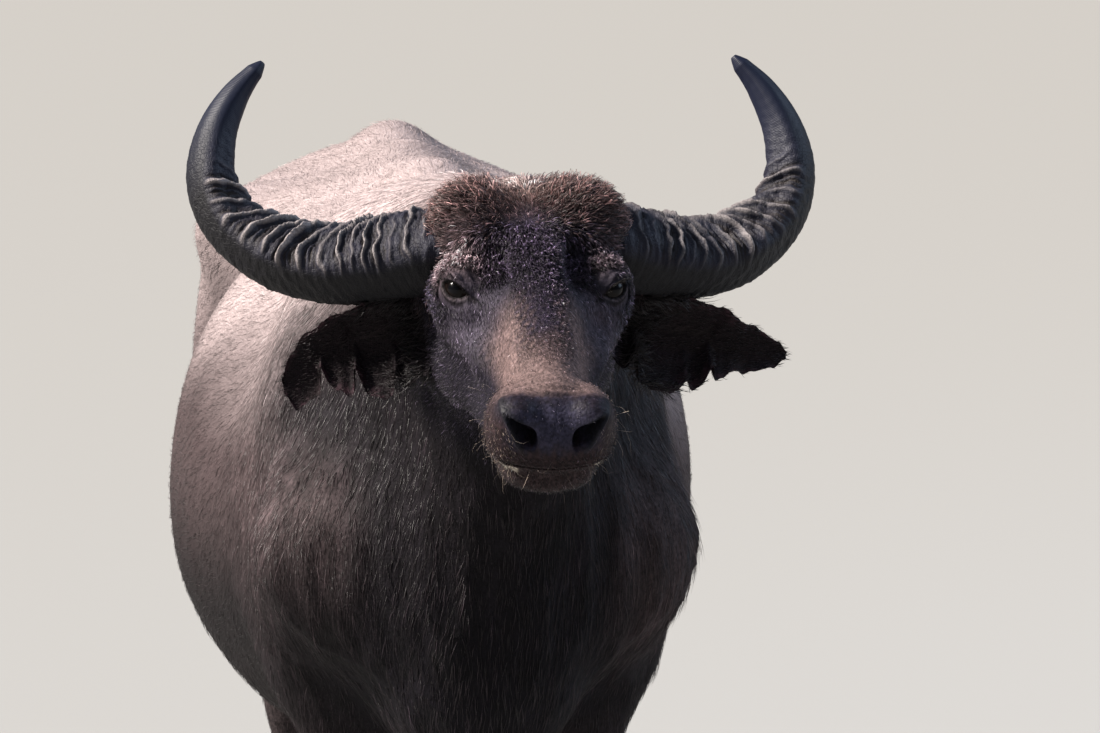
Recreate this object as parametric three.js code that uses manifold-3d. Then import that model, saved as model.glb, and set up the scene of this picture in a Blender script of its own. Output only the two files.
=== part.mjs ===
// A life-size water buffalo that stands still, in millimetres, +Z up.
// It faces -Y, its left side is +X, and y = 0 lies under the withers until the last lines centre it.
// The flesh is one field of rounded forms that melt into each other. Each node of flesh is a tube of rings
// whose points lie where that field ends. Nodes meet in thin cuts, and what grows from one is cut clear of it.
import * as THREE from "three";
import { mergeVertices } from "three/addons/utils/BufferGeometryUtils.js";
import Module from "manifold-3d";

const wasm = await Module();
wasm.setup();

// Driving dimensions
const withersHeight = 1380;
const sacrumHeight = 1350;
const sacrumBack = 905;
const rumpBack = 1250;
const bellyHeight = 566;
const barrelHalfWidth = 342;
const eyesPlace = [23, -632, 1327];
const headPitch = 29;
const headRoll = 1;
const eyeballRadius = 21;
const eyeHalfSpread = 88;
const lidThickness = 4;
const hornBaseWidth = 118;
const hornSpread = { left: 1, right: 1.04 };
const earLength = { left: 262, right: 214 };
const elbowHeight = 735;
const kneeHeight = 390;
const stifleHeight = 750;
const hockHeight = 510;
const fetlockHeight = 168;
const hoofLength = 116;
const hoofWidth = 56;
const hoofHeight = 80;
const cleft = 7;
const dewclawLength = 40;
const stance = {
  foreleg_left: { foot: 118, step: -28 },
  foreleg_right: { foot: 118, step: 22 },
  hindleg_left: { foot: 122, step: 34 },
  hindleg_right: { foot: 122, step: -38 },
};
const tailEnd = 715;
const switchEnd = 425;
const switchLocks = 17;
const gap = 0.3;

// Angles, mixes and draws
const degrees = (a) => (a * Math.PI) / 180;
const vec = (p) => new THREE.Vector3(...p);
const mix = (a, b, t) => a + (b - a) * t;
const clamp = (v, low, high) => Math.min(Math.max(v, low), high);
function seededDraws(seed) {
  let state = seed;
  return () => {
    state = (state * 1664525 + 1013904223) % 4294967296;
    return state / 4294967296;
  };
}

// A value that passes smoothly through stops: [[at, value], ...]
function graded(stops, at) {
  if (at <= stops[0][0]) return stops[0][1];
  for (let i = 1; i < stops.length; i++) {
    const [end, endValue] = stops[i];
    if (at <= end) {
      const [start, startValue] = stops[i - 1];
      const t = (at - start) / (end - start);
      return mix(startValue, endValue, t * t * (3 - 2 * t));
    }
  }
  return stops[stops.length - 1][1];
}

// The forms of flesh. A ball is an ellipsoid, tilted about X, and a limb is a cone with round ends.
// A pair stands on both sides of the midline, and a hollow is taken away.
function ball(at, size, blend, tilt = 0) {
  return { at, size, blend, cos: Math.cos(degrees(tilt)), sin: Math.sin(degrees(tilt)) };
}
const limb = (from, to, r1, r2, blend) => ({ from, to, r1, r2, blend });
const pair = (form) => ({ ...form, pair: true });
const hollow = (form) => ({ ...form, hollow: true });

// Distance to one form, negative inside it
function distanceTo(form, px, py, pz) {
  const x = form.pair ? Math.abs(px) : px;
  if (form.size) {
    const dx = x - form.at[0];
    const dy = py - form.at[1];
    const dz = pz - form.at[2];
    const ty = dy * form.cos + dz * form.sin;
    const tz = dz * form.cos - dy * form.sin;
    const [a, b, c] = form.size;
    const near = Math.hypot(dx / a, ty / b, tz / c);
    const steep = Math.hypot(dx / (a * a), ty / (b * b), tz / (c * c));
    return steep < 1e-9 ? -Math.min(a, b, c) : (near * (near - 1)) / steep;
  }
  const { from, to, r1, r2 } = form;
  const dx = x - from[0];
  const dy = py - from[1];
  const dz = pz - from[2];
  const bx = to[0] - from[0];
  const by = to[1] - from[1];
  const bz = to[2] - from[2];
  const t = clamp((dx * bx + dy * by + dz * bz) / (bx * bx + by * by + bz * bz), 0, 1);
  return Math.hypot(dx - bx * t, dy - by * t, dz - bz * t) - mix(r1, r2, t);
}

// Two distances melted together over a blend
function joined(a, b, blend) {
  const h = Math.max(blend - Math.abs(a - b), 0) / blend;
  return Math.min(a, b) - (h * h * blend) / 4;
}

// All forms melted together: each meets what came before it over its own blend
function melted(forms, x, y, z) {
  let d = 1e6;
  for (const form of forms) {
    const e = distanceTo(form, x, y, z);
    d = form.hollow ? -joined(-d, e, form.blend) : joined(d, e, form.blend);
  }
  return d;
}

// Trunk: barrel, chest, loin and croup, then the ridge of the back, the hip and pin bones and the
// muscles that the legs grow from
const trunkForms = [
  ball([0, 380, 952], [barrelHalfWidth, 600, 372], 1),
  ball([0, 470, bellyHeight + 285], [322, 470, 285], 80),
  ball([0, 20, 985], [225, 360, 362], 90),
  ball([0, -225, 835], [130, 168, 190], 80),
  ball([0, 700, 1145], [245, 330, 172], 80),
  ball([0, 965, 1125], [222, 278, 196], 70),
  limb([0, -50, withersHeight - 48], [0, 330, 1322], 46, 32, 70),
  limb([0, 330, 1322], [0, sacrumBack, 1312], 28, 26, 60),
  ball([0, sacrumBack, sacrumHeight - 26], [34, 52, 30], 50),
  ball([0, 1165, 1200], [62, 88, 62], 70),
  pair(ball([228, 852, 1208], [54, 92, 50], 110, -16)),
  pair(ball([118, rumpBack - 45, 1105], [46, 44, 52], 70)),
  pair(limb([105, 50, 1262], [170, -205, 950], 62, 80, 90)),
  pair(limb([170, -205, 930], [168, 0, 810], 80, 78, 70)),
  pair(ball([178, 55, 940], [72, 125, 175], 70, -12)),
  pair(ball([158, 1020, 950], [122, 206, 290], 80, 8)),
  pair(ball([188, 868, 818], [86, 118, 152], 80, 10)),
  pair(limb([112, rumpBack - 80, 1070], [160, 1115, 830], 84, 78, 70)),
  pair(hollow(ball([330, 672, 1196], [84, 112, 84], 120))),
];

const neckForms = [
  limb([0, 0, 1290], [18, -420, 1352], 84, 76, 1),
  limb([0, -60, 1120], [20, -420, 1262], 190, 112, 90),
  limb([0, -250, 925], [20, -440, 1178], 132, 84, 90),
];

// Head in its own frame: origin between the eyes, -Y towards the muzzle, +Z out of the forehead.
// Skull, poll, brows, cheek bones, ridge of the nose, jaw, nose pad, nostril wings, lip and chin
const headForms = [
  ball([0, 95, -42], [98, 105, 90], 1),
  ball([0, 128, 2], [82, 58, 50], 30),
  ball([0, 42, -12], [88, 112, 66], 40),
  pair(ball([83, 9, -2], [31, 42, 32], 26)),
  pair(limb([92, 34, -42], [60, -90, -42], 24, 18, 40)),
  limb([0, -10, 8], [0, -214, -8], 44, 33, 40),
  ball([0, -100, -48], [58, 150, 56], 40),
  pair(ball([70, 45, -98], [34, 85, 78], 40)),
  pair(limb([64, 55, -148], [24, -205, -86], 34, 24, 40)),
  limb([0, 30, -118], [0, -200, -68], 62, 36, 40),
  ball([0, -236, -26], [68, 46, 46], 30),
  pair(ball([47, -228, -30], [29, 44, 44], 24)),
  pair(ball([45, -252, 4], [22, 24, 22], 20)),
  ball([0, -258, -36], [50, 28, 24], 18),
  ball([0, -230, -86], [43, 44, 25], 16),
];

const headTurn = new THREE.Matrix4()
  .makeRotationFromEuler(new THREE.Euler(degrees(headPitch), degrees(headRoll), 0, "YXZ"))
  .setPosition(vec(eyesPlace));
const headBack = headTurn.clone().invert();
const headPoint = (p) => vec(p).applyMatrix4(headTurn);
const headWay = (p) => vec(p).transformDirection(headTurn);

const scratch = new THREE.Vector3();
function headField(x, y, z) {
  scratch.set(x, y, z).applyMatrix4(headBack);
  return melted(headForms, scratch.x, scratch.y, scratch.z);
}
function torsoField(x, y, z) {
  return joined(melted(trunkForms, x, y, z), melted(neckForms, x, y, z), 110);
}
function bodyField(x, y, z) {
  return joined(torsoField(x, y, z), headField(x, y, z), 60);
}

// Triangles over rings of points with a pole at each end, facing out
function closedSurface(points, count, sides) {
  const index = [];
  const at = (i, j) => i * sides + (j % sides);
  for (let i = 0; i + 1 < count; i++) {
    for (let j = 0; j < sides; j++) {
      index.push(at(i, j), at(i, j + 1), at(i + 1, j));
      index.push(at(i, j + 1), at(i + 1, j + 1), at(i + 1, j));
    }
  }
  const start = count * sides;
  for (let j = 0; j < sides; j++) {
    index.push(start, at(0, j + 1), at(0, j));
    index.push(start + 1, at(count - 1, j), at(count - 1, j + 1));
  }
  const geometry = new THREE.BufferGeometry().setFromPoints(points);
  geometry.setIndex(index);
  return geometry;
}

// The middle of some of a list's points, from a start
function middleOf(points, start, count) {
  const sum = new THREE.Vector3();
  for (const point of points.slice(start, start + count)) sum.add(point);
  return sum.divideScalar(count);
}

// Between geometry and solids that can be joined and cut. A solid that comes inside out is turned round.
function solidOf(geometry) {
  const plain = geometry.clone();
  plain.deleteAttribute("normal");
  plain.deleteAttribute("uv");
  const merged = mergeVertices(plain, 1e-3);
  const make = (triangles) =>
    new wasm.Manifold(
      new wasm.Mesh({
        numProp: 3,
        vertProperties: merged.getAttribute("position").array,
        triVerts: new Uint32Array(triangles),
      }),
    );
  const index = Array.from(merged.index.array);
  const solid = make(index);
  return solid.volume() > 0 ? solid : make(index.reverse());
}
function geometryOf(solid) {
  const mesh = solid.getMesh();
  const step = mesh.numProp;
  const place = new Float32Array(mesh.numVert * 3);
  for (let i = 0; i < mesh.numVert; i++) {
    place.set(mesh.vertProperties.subarray(i * step, i * step + 3), i * 3);
  }
  return new THREE.BufferGeometry()
    .setAttribute("position", new THREE.BufferAttribute(place, 3))
    .setIndex(new THREE.BufferAttribute(mesh.triVerts.slice(), 1));
}
const largest = (solid) => solid.decompose().sort((a, b) => b.volume() - a.volume())[0];
const without = (solid, ...cutters) => largest(cutters.reduce((left, c) => left.subtract(c), solid));
const together = (solids) => solids.reduce((all, solid) => all.add(solid));

// How far a ray runs from a centre before the field rises over a level
function marched(field, centre, ray, level, step, reach) {
  const at = (r) => field(centre.x + ray.x * r, centre.y + ray.y * r, centre.z + ray.z * r);
  let low = 0;
  let high = reach;
  for (let r = step; r < reach; r += step) {
    if (at(r) > level) {
      high = r;
      break;
    }
    low = r;
  }
  for (let i = 0; i < 16; i++) {
    const r = (low + high) / 2;
    if (at(r) > level) high = r;
    else low = r;
  }
  return centre.clone().addScaledVector(ray, (low + high) / 2);
}

// A tube of rings round a spine, out to where the field ends. A ring's rays lean towards the way ahead, or
// back from it where the lean is negative, and a flat ring at an end closes on its own centre.
function fleshTube(field, rings, sides, level = 0, step = 8, reach = 700) {
  const points = [];
  const ahead = (ring) => ring.across.clone().cross(ring.up);
  for (const ring of rings) {
    for (let j = 0; j < sides; j++) {
      const a = (j / sides) * 2 * Math.PI;
      const ray = ring.across.clone().multiplyScalar(Math.cos(a)).addScaledVector(ring.up, Math.sin(a));
      ray.multiplyScalar(Math.cos(ring.lean)).addScaledVector(ahead(ring), Math.sin(ring.lean));
      points.push(marched(field, ring.centre, ray.normalize(), level, step, reach));
    }
  }
  for (const [ring, way] of [[rings[0], -1], [rings[rings.length - 1], 1]]) {
    const out = ahead(ring).multiplyScalar(ring.lean ? Math.sign(ring.lean) : way);
    points.push(ring.flat ? ring.centre.clone() : marched(field, ring.centre, out, level, step, reach));
  }
  return solidOf(closedSurface(points, rings.length, sides));
}

// A ring in a plane that tips about X: at tip 0 it stands upright, and at tip 90 it lies flat
function ringAt([x, y, z], tip, more = {}) {
  const t = degrees(tip);
  return {
    centre: new THREE.Vector3(x, y, z),
    across: new THREE.Vector3(1, 0, 0),
    up: new THREE.Vector3(0, -Math.sin(t), Math.cos(t)),
    lean: 0,
    ...more,
  };
}

const torsoSides = 36;
const headSides = 40;

// The two thin cuts of the neck, each moved along its own normal
const neckBase = { centre: [0, -195, 1085], tip: -40 };
const neckTop = { centre: [19, -440, 1300], tip: -16 };
function cutRing({ centre: [x, y, z], tip }, along) {
  const t = degrees(tip);
  return ringAt([x, y + along * Math.cos(t), z + along * Math.sin(t)], tip, { flat: true });
}

// Torso: rings from the neck's base to the middle of the thighs, then rays that lean back over the rump
function torsoTube(level) {
  const rings = [cutRing(neckBase, gap / 2 - level)];
  const ringCount = 22;
  for (let i = 1; i <= ringCount; i++) {
    const t = i / ringCount;
    const y = mix(neckBase.centre[1], 1010, t ** 1.2);
    const z = graded([[0, neckBase.centre[2]], [0.25, 1005], [0.7, 985], [1, 1040]], t);
    const tip = graded([[0, neckBase.tip], [0.44, 0], [1, 0]], t);
    rings.push(ringAt([0, y, z], tip));
  }
  for (const lean of [17, 34, 50, 65, 78]) rings.push(ringAt([0, 1010, 1040], 0, { lean: degrees(-lean) }));
  return fleshTube(torsoField, rings, torsoSides, level);
}

// Neck: between its two cuts
function neckTube() {
  const rings = [cutRing(neckTop, gap / 2)];
  const ringCount = 7;
  for (let i = 1; i < ringCount; i++) {
    const t = i / ringCount;
    const centre = neckTop.centre.map((v, k) => mix(v, neckBase.centre[k], t));
    rings.push(ringAt(centre, mix(neckTop.tip, neckBase.tip, t)));
  }
  rings.push(cutRing(neckBase, -gap / 2));
  return fleshTube(bodyField, rings, torsoSides);
}

// Head: rings from the neck to the lips, where the rays lean forward over the muzzle
function headTube(level) {
  const rings = [];
  for (const lean of [76, 60, 46, 32, 19, 8]) {
    rings.push(ringAt(headPoint([0, -236, -38]).toArray(), headPitch, { lean: degrees(lean) }));
  }
  const ringCount = 22;
  for (let i = 0; i < ringCount; i++) {
    const t = i / ringCount;
    const y = mix(-232, 128, t);
    const centre = headPoint([0, y, graded([[0, -38], [0.5, -48], [1, -52]], t)]);
    rings.push(ringAt(centre.toArray(), graded([[0, headPitch], [0.55, headPitch], [1, neckTop.tip]], t)));
  }
  rings.push(cutRing(neckTop, -gap / 2 + level));
  return fleshTube(bodyField, rings, headSides, level, 5);
}

// A ball of the eye's size or over, and the way the eye looks
const eyeWay = (side) => new THREE.Vector3(0.52 * side, -0.68, 0.5).normalize();
const eyeCentre = (side) => [eyeHalfSpread * side, 0, 0];
function eyeSphere(side, radius, across, down) {
  const sphere = new THREE.SphereGeometry(radius, across, down);
  sphere.applyQuaternion(new THREE.Quaternion().setFromUnitVectors(new THREE.Vector3(0, 1, 0), eyeWay(side)));
  sphere.translate(...eyeCentre(side)).applyMatrix4(headTurn);
  return solidOf(sphere);
}

// The almond between the lids, run out along the eye's way
function lidOpening(side) {
  const [halfLength, upper, lower] = [17, 12.5, 10];
  const almond = new THREE.Shape();
  almond.moveTo(-halfLength, -2);
  almond.bezierCurveTo(-halfLength * 0.5, upper, halfLength * 0.5, upper * 1.25, halfLength, 1);
  almond.bezierCurveTo(halfLength * 0.5, -lower * 1.1, -halfLength * 0.5, -lower * 1.2, -halfLength, -2);
  const geometry = new THREE.ExtrudeGeometry(almond, { depth: 60, bevelEnabled: false, curveSegments: 7 });
  const way = eyeWay(side);
  const along = new THREE.Vector3(side, 0.34, 0.1);
  along.addScaledVector(way, -along.dot(way)).normalize();
  const up = way.clone().cross(along).multiplyScalar(side);
  geometry.applyMatrix4(new THREE.Matrix4().makeBasis(along, up, way));
  geometry.translate(...eyeCentre(side));
  const inside = way.multiplyScalar(7);
  return solidOf(geometry.translate(inside.x, inside.y, inside.z).applyMatrix4(headTurn));
}

// A nostril: a comma that slants from the upper outer corner to the lower inner one
function nostril(side) {
  const bore = (at, size, turn) => {
    const slug = new THREE.SphereGeometry(1, 10, 6).scale(...size).rotateY(degrees(turn * side));
    return solidOf(slug.translate(at[0] * side, at[1], at[2]).applyMatrix4(headTurn));
  };
  return bore([33, -270, -4], [10, 24, 24], 40).add(bore([47, -262, 12], [5, 18, 12], 52));
}

// The line of the mouth: a wedge that follows the lips from one corner round the front to the other
function mouthLine() {
  const points = [];
  const [steps, inset, outset, half] = [17, 11, 14, 1.9];
  for (let i = 0; i < steps; i++) {
    const a = mix(-1, 1, i / (steps - 1));
    const turn = degrees(a * 108);
    const z = -54 - 13 * a * a;
    const centre = headPoint([0, -205, z]);
    const ray = headWay([Math.sin(turn), -Math.cos(turn), 0]);
    const lip = marched(bodyField, centre, ray, 0, 4, 300);
    const up = headWay([0, 0, 1]);
    const at = (run, rise) => lip.clone().addScaledVector(ray, run).addScaledVector(up, rise);
    points.push(at(-inset * (1 - 0.8 * a ** 6), 0), at(outset, half * 2.2), at(outset, -half * 2.2));
  }
  points.push(middleOf(points, 0, 3), middleOf(points, (steps - 1) * 3, 3));
  return solidOf(closedSurface(points, steps, 3));
}

function headSolid() {
  const sides = [1, -1];
  const domes = sides.map((s) => eyeSphere(s, eyeballRadius + lidThickness, 16, 10));
  const domed = together([headTube(0), ...domes]);
  return without(
    domed,
    ...sides.map((s) => eyeSphere(s, eyeballRadius + gap, 16, 10)),
    ...sides.map(lidOpening),
    ...sides.map(nostril),
    mouthLine(),
  );
}

// Horn: a crescent of keeled section that sweeps out, back and up. Ridges cross its upper front face, close
// together at the base and fading towards the smooth tip.
const hornPath = [
  [54, 88, 33],
  [113, 108, 32],
  [170, 138, 17],
  [230, 174, 10],
  [288, 214, 22],
  [333, 250, 55],
  [352, 280, 100],
  [346, 302, 150],
  [322, 321, 199],
  [287, 335, 240],
];
const hornWidths = [
  [0, 0.6],
  [0.09, 0.98],
  [0.3, 0.88],
  [0.45, 0.8],
  [0.6, 0.65],
  [0.75, 0.53],
  [0.88, 0.37],
  [1, 0.09],
];
const hornRidges = 15;
function horn(side, spread, grow = 0) {
  const path = new THREE.CatmullRomCurve3(
    hornPath.map(([x, y, z]) => new THREE.Vector3(x * side * spread, y, z).add(vec(eyesPlace))),
  );
  const stops = [0, 0.04, 0.085];
  for (let i = 0; i < hornRidges; i++) {
    const start = mix(0.12, 0.72, (i / hornRidges) ** 0.88);
    const end = mix(0.12, 0.72, ((i + 1) / hornRidges) ** 0.88);
    stops.push(start, mix(start, end, 0.42), mix(start, end, 0.78));
  }
  for (let i = 0; i < 8; i++) stops.push(mix(0.73, 1, i / 7));
  const points = [];
  const sides = 10;
  const forward = new THREE.Vector3(0.15 * side, -1, 0.1).normalize();
  stops.forEach((s, i) => {
    const at = path.getPointAt(s);
    const along = path.getTangentAt(s);
    const front = forward.clone().addScaledVector(along, -forward.dot(along)).normalize();
    const upper = front.clone().cross(along).multiplyScalar(side);
    const crest = i > 2 && i < stops.length - 8 && (i - 3) % 3 === 1;
    const rise = crest ? 0.075 * graded([[0.5, 1], [0.72, 0.3]], s) : 0;
    const half = graded(hornWidths, s) * (hornBaseWidth / 2) + grow;
    for (let j = 0; j < sides; j++) {
      const a = (j / sides) * 2 * Math.PI;
      const keel = 0.1 * Math.max(0, Math.cos(a - 0.5)) ** 6;
      const corner = 0.05 * Math.cos(3 * (a - 0.5));
      const ridged = graded([[-0.2, 0], [0.5, 1]], Math.sin(a + 0.5));
      const r = half * (0.93 + keel + corner + rise * ridged);
      const flat = 0.86;
      points.push(
        at.clone().addScaledVector(front, Math.cos(a) * r * flat).addScaledVector(upper, Math.sin(a) * r),
      );
    }
  });
  points.push(path.getPointAt(0), path.getPointAt(1).addScaledVector(path.getTangentAt(1), 5));
  return solidOf(closedSurface(points, stops.length, sides));
}

// Ear: a cupped plate from its root to its torn tip. The edges give how far it reaches above and below its
// axis, and the tears are taken out of the lower edge: [place along the ear, half its length, its depth].
const ears = {
  left: {
    upper: [[0, 24], [0.12, 34], [0.3, 44], [0.55, 40], [0.75, 26], [0.92, 16], [1, 6]],
    lower: [[0, 26], [0.12, 58], [0.3, 78], [0.5, 70], [0.6, 52], [0.76, 34], [0.92, 22], [1, 6]],
    tears: [[0.17, 0.035, 26], [0.47, 0.03, 10], [0.585, 0.03, 22]],
  },
  right: {
    upper: [[0, 24], [0.12, 38], [0.32, 42], [0.6, 34], [0.82, 22], [0.95, 14], [1, 4]],
    lower: [[0, 26], [0.14, 62], [0.34, 80], [0.55, 72], [0.72, 58], [0.86, 64], [0.95, 52], [1, 6]],
    tears: [[0.31, 0.035, 20], [0.56, 0.035, 24], [0.77, 0.03, 20]],
  },
};
const earRoot = [104, 112, -52];
const earAxis = [0.9, 0.38, -0.2];
function ear(side, name, grow = 0) {
  const shape = ears[name];
  const axis = new THREE.Vector3(earAxis[0] * side, earAxis[1], earAxis[2]).normalize();
  const facing = new THREE.Vector3(0.3 * side, -0.93, -0.1);
  facing.addScaledVector(axis, -facing.dot(axis)).normalize();
  const across = facing.clone().cross(axis).multiplyScalar(side);
  const root = new THREE.Vector3(earRoot[0] * side, earRoot[1], earRoot[2]).add(vec(eyesPlace));
  const stops = new Set();
  for (let i = 0; i <= 12; i++) stops.add(i / 12);
  for (const [place, half] of shape.tears) [place - half, place, place + half].forEach((s) => stops.add(s));
  const order = [...stops].sort((a, b) => a - b).filter((s, i, all) => i === 0 || s - all[i - 1] > 0.012);
  const lanes = 6;
  const points = [];
  for (const s of order) {
    const torn = shape.tears.reduce((most, [place, half, deep]) => {
      return Math.max(most, deep * clamp(1.25 - Math.abs(s - place) / half, 0, 1));
    }, 0);
    const [above, below] = [graded(shape.upper, s) + grow, graded(shape.lower, s) - torn + grow];
    const cup = graded([[0, 0], [0.16, 26], [0.5, 24], [0.85, 9], [1, 4]], s);
    const thick = graded([[0, 34], [0.1, 24], [0.22, 9], [0.7, 6], [1, 3.4]], s) + grow * 2;
    const droop = -14 * s * s;
    const place = (v, back) => {
      const run = mix(-below, above, (v + 1) / 2);
      const round = v * v;
      return root
        .clone()
        .addScaledVector(axis, s * earLength[name])
        .addScaledVector(across, run + droop)
        .addScaledVector(facing, cup * round - cup * 0.5 - (back ? thick * (1 - 0.45 * round) : -grow));
    };
    for (let k = 0; k < lanes; k++) points.push(place(mix(-1, 1, k / (lanes - 1)), false));
    for (let k = 0; k < lanes; k++) points.push(place(mix(1, -1, k / (lanes - 1)), true));
  }
  const sides = lanes * 2;
  points.push(middleOf(points, 0, sides), middleOf(points, (order.length - 1) * sides, sides));
  return solidOf(closedSurface(points, order.length, sides));
}

// Legs. Each is a chain of limbs from inside the trunk down to the pastern, with its joints swelled, and its
// spine runs through the same joints. Its foot stands at x = foot and its lower joints are moved by step.
function foreleg(side, { foot, step }) {
  const elbow = [150 * side, 8 + step * 0.2, elbowHeight];
  const knee = [mix(foot, 152, 0.35) * side, -38 + step * 0.7, kneeHeight];
  const fetlock = [foot * side, -28 + step, fetlockHeight];
  const coronet = [foot * side, -62 + step, 84];
  const top = [148 * side, -60, 900];
  const out = (p, x, y, z) => [p[0] + x * side, p[1] + y, p[2] + z];
  const forms = [
    limb(top, out(elbow, 0, -10, 20), 88, 78, 1),
    ball(out(elbow, 4, 44, 8), [40, 50, 62], 50),
    limb(out(elbow, 0, -18, 10), out(knee, 0, 8, 130), 76, 51, 60),
    limb(out(knee, 0, 8, 130), out(knee, 0, 2, 40), 48, 44, 40),
    ball(knee, [48, 50, 54], 30),
    limb(out(knee, 0, 8, -45), out(fetlock, 0, 2, 50), 32, 29, 30),
    limb(out(knee, 0, 26, -40), out(fetlock, 0, 24, 40), 18, 17, 16),
    ball(fetlock, [43, 45, 44], 26),
    limb(fetlock, coronet, 39, 42, 24),
    ball(out(coronet, 0, -4, -8), [60, 58, 28], 26),
  ];
  const spine = [top, elbow, out(knee, 0, 0, 150), knee, out(fetlock, 0, 4, 80)];
  spine.push(fetlock, out(coronet, 0, 2, -16));
  return { forms, spine, fetlock, foot: [foot * side, -88 + step] };
}
function hindleg(side, { foot, step }) {
  const stifle = [178 * side, 858 + step * 0.25, stifleHeight];
  const hock = [mix(foot, 150, 0.3) * side, 1072 + step * 0.8, hockHeight];
  const fetlock = [foot * side, 1040 + step, fetlockHeight];
  const coronet = [foot * side, 1004 + step, 84];
  const top = [160 * side, 940, 930];
  const out = (p, x, y, z) => [p[0] + x * side, p[1] + y, p[2] + z];
  const forms = [
    limb(top, out(stifle, -8, 26, 10), 104, 82, 1),
    limb(out(stifle, -8, 34, 0), out(hock, 2, -40, 104), 80, 46, 60),
    limb([150 * side, 1088, 880], out(hock, 2, -4, 104), 90, 34, 70),
    limb(out(hock, 2, -26, 100), out(hock, 0, -4, 0), 40, 41, 40),
    limb(out(hock, 0, 16, 110), out(hock, 0, 42, 34), 19, 27, 26),
    ball(hock, [42, 50, 58], 30),
    limb(out(hock, 0, 6, -50), out(fetlock, 0, 2, 50), 33, 29, 30),
    limb(out(hock, 0, 32, -30), out(fetlock, 0, 28, 40), 20, 17, 16),
    ball(fetlock, [43, 46, 45], 26),
    limb(fetlock, coronet, 39, 42, 24),
    ball(out(coronet, 0, -4, -8), [60, 58, 28], 26),
  ];
  const gaskin = out(stifle, -14, 110, -90);
  const spine = [top, stifle, gaskin, out(hock, 0, -14, 60), out(hock, 0, 2, -20), out(fetlock, 0, 6, 110)];
  spine.push(fetlock, out(coronet, 0, 2, -16));
  return { forms, spine, fetlock, foot: [foot * side, 976 + step] };
}
function legTube({ forms, spine }, sides, ringCount) {
  const path = new THREE.CatmullRomCurve3(spine.map(vec), false, "centripetal");
  const field = (x, y, z) => melted(forms, x, y, z);
  const rings = [];
  for (let i = 0; i < ringCount; i++) {
    const s = 1 - (1 - i / (ringCount - 1)) ** 1.15;
    const along = path.getTangentAt(s);
    const across = new THREE.Vector3(1, 0, 0).addScaledVector(along, -along.x).normalize();
    rings.push({ centre: path.getPointAt(s), across, up: along.clone().cross(across), lean: 0 });
  }
  return fleshTube(field, rings, sides, 0, 3, 300);
}

// Hoof: two claws side by side with flat soles. A claw is straight towards the cleft and round outside, and
// its wall slopes back from the toe.
function claw([x, y], way, grow = 0) {
  const points = [];
  const sides = 12;
  const levels = [[0, 1], [0.45, 0.93], [1, 0.8]];
  const centreX = x + way * (cleft / 2 + hoofWidth / 2);
  for (const [rise, size] of levels) {
    for (let j = 0; j < sides; j++) {
      const a = (j / sides) * 2 * Math.PI;
      const outer = Math.cos(a) > 0;
      const squared = Math.sign(Math.cos(a)) * Math.abs(Math.cos(a)) ** 0.75;
      const across = (hoofWidth / 2) * (outer ? size : 1) * squared;
      const along = (hoofLength / 2) * size * Math.sin(a);
      const toeTurn = -4 * Math.max(0, -Math.sin(a)) ** 2;
      const slope = 30 * rise;
      const toHeel = (along + hoofLength / 2) / hoofLength;
      const z = rise * mix(hoofHeight, hoofHeight * 0.6, toHeel);
      const spread = grow / (hoofWidth / 2);
      points.push(
        new THREE.Vector3(
          centreX + way * (across + toeTurn) + way * across * spread,
          y + slope * (1 - 0.75 * toHeel) + along + Math.sin(a) * grow,
          grow ? z * (1 + grow / 30) - 20 * (rise === 0) : z,
        ),
      );
    }
  }
  const top = middleOf(points, (levels.length - 1) * sides, sides);
  points.push(middleOf(points, 0, sides), top.setZ(top.z + 4 + grow));
  return solidOf(closedSurface(points, levels.length, sides));
}

// Dewclaw: a blunt cone whose root lies in the fetlock and whose tip points down and back
function dewclaw([x, y, z], way, grow = 0) {
  const cone = new THREE.CylinderGeometry(17 + grow, 9 + grow, dewclawLength + grow * 2, 10, 1);
  cone.rotateX(degrees(112)).translate(x + way * 19, y + 38, z - 26);
  return solidOf(cone);
}

// Tail: a tapering tube that hangs from the tail head
const tailPath = new THREE.CatmullRomCurve3([
  new THREE.Vector3(0, 1165, 1226),
  new THREE.Vector3(0, rumpBack - 8, 1206),
  new THREE.Vector3(2, rumpBack + 28, 1110),
  new THREE.Vector3(6, rumpBack + 26, 930),
  new THREE.Vector3(9, rumpBack + 18, 800),
  new THREE.Vector3(10, rumpBack + 14, tailEnd),
]);
const tailRadii = [[0, 46], [0.2, 34], [0.45, 22], [0.75, 16], [1, 14]];
function tailTube() {
  const points = [];
  const [ringCount, sides] = [16, 10];
  for (let i = 0; i < ringCount; i++) {
    const s = i / (ringCount - 1);
    const at = tailPath.getPointAt(s);
    const along = i === ringCount - 1 ? new THREE.Vector3(0, 0, -1) : tailPath.getTangentAt(s);
    const across = new THREE.Vector3(1, 0, 0).addScaledVector(along, -along.x).normalize();
    const back = along.clone().cross(across);
    for (let j = 0; j < sides; j++) {
      const a = (j / sides) * 2 * Math.PI;
      const r = graded(tailRadii, s);
      points.push(at.clone().addScaledVector(across, Math.cos(a) * r).addScaledVector(back, Math.sin(a) * r));
    }
  }
  points.push(tailPath.getPointAt(0), tailPath.getPointAt(1));
  return solidOf(closedSurface(points, ringCount, sides));
}

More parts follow.
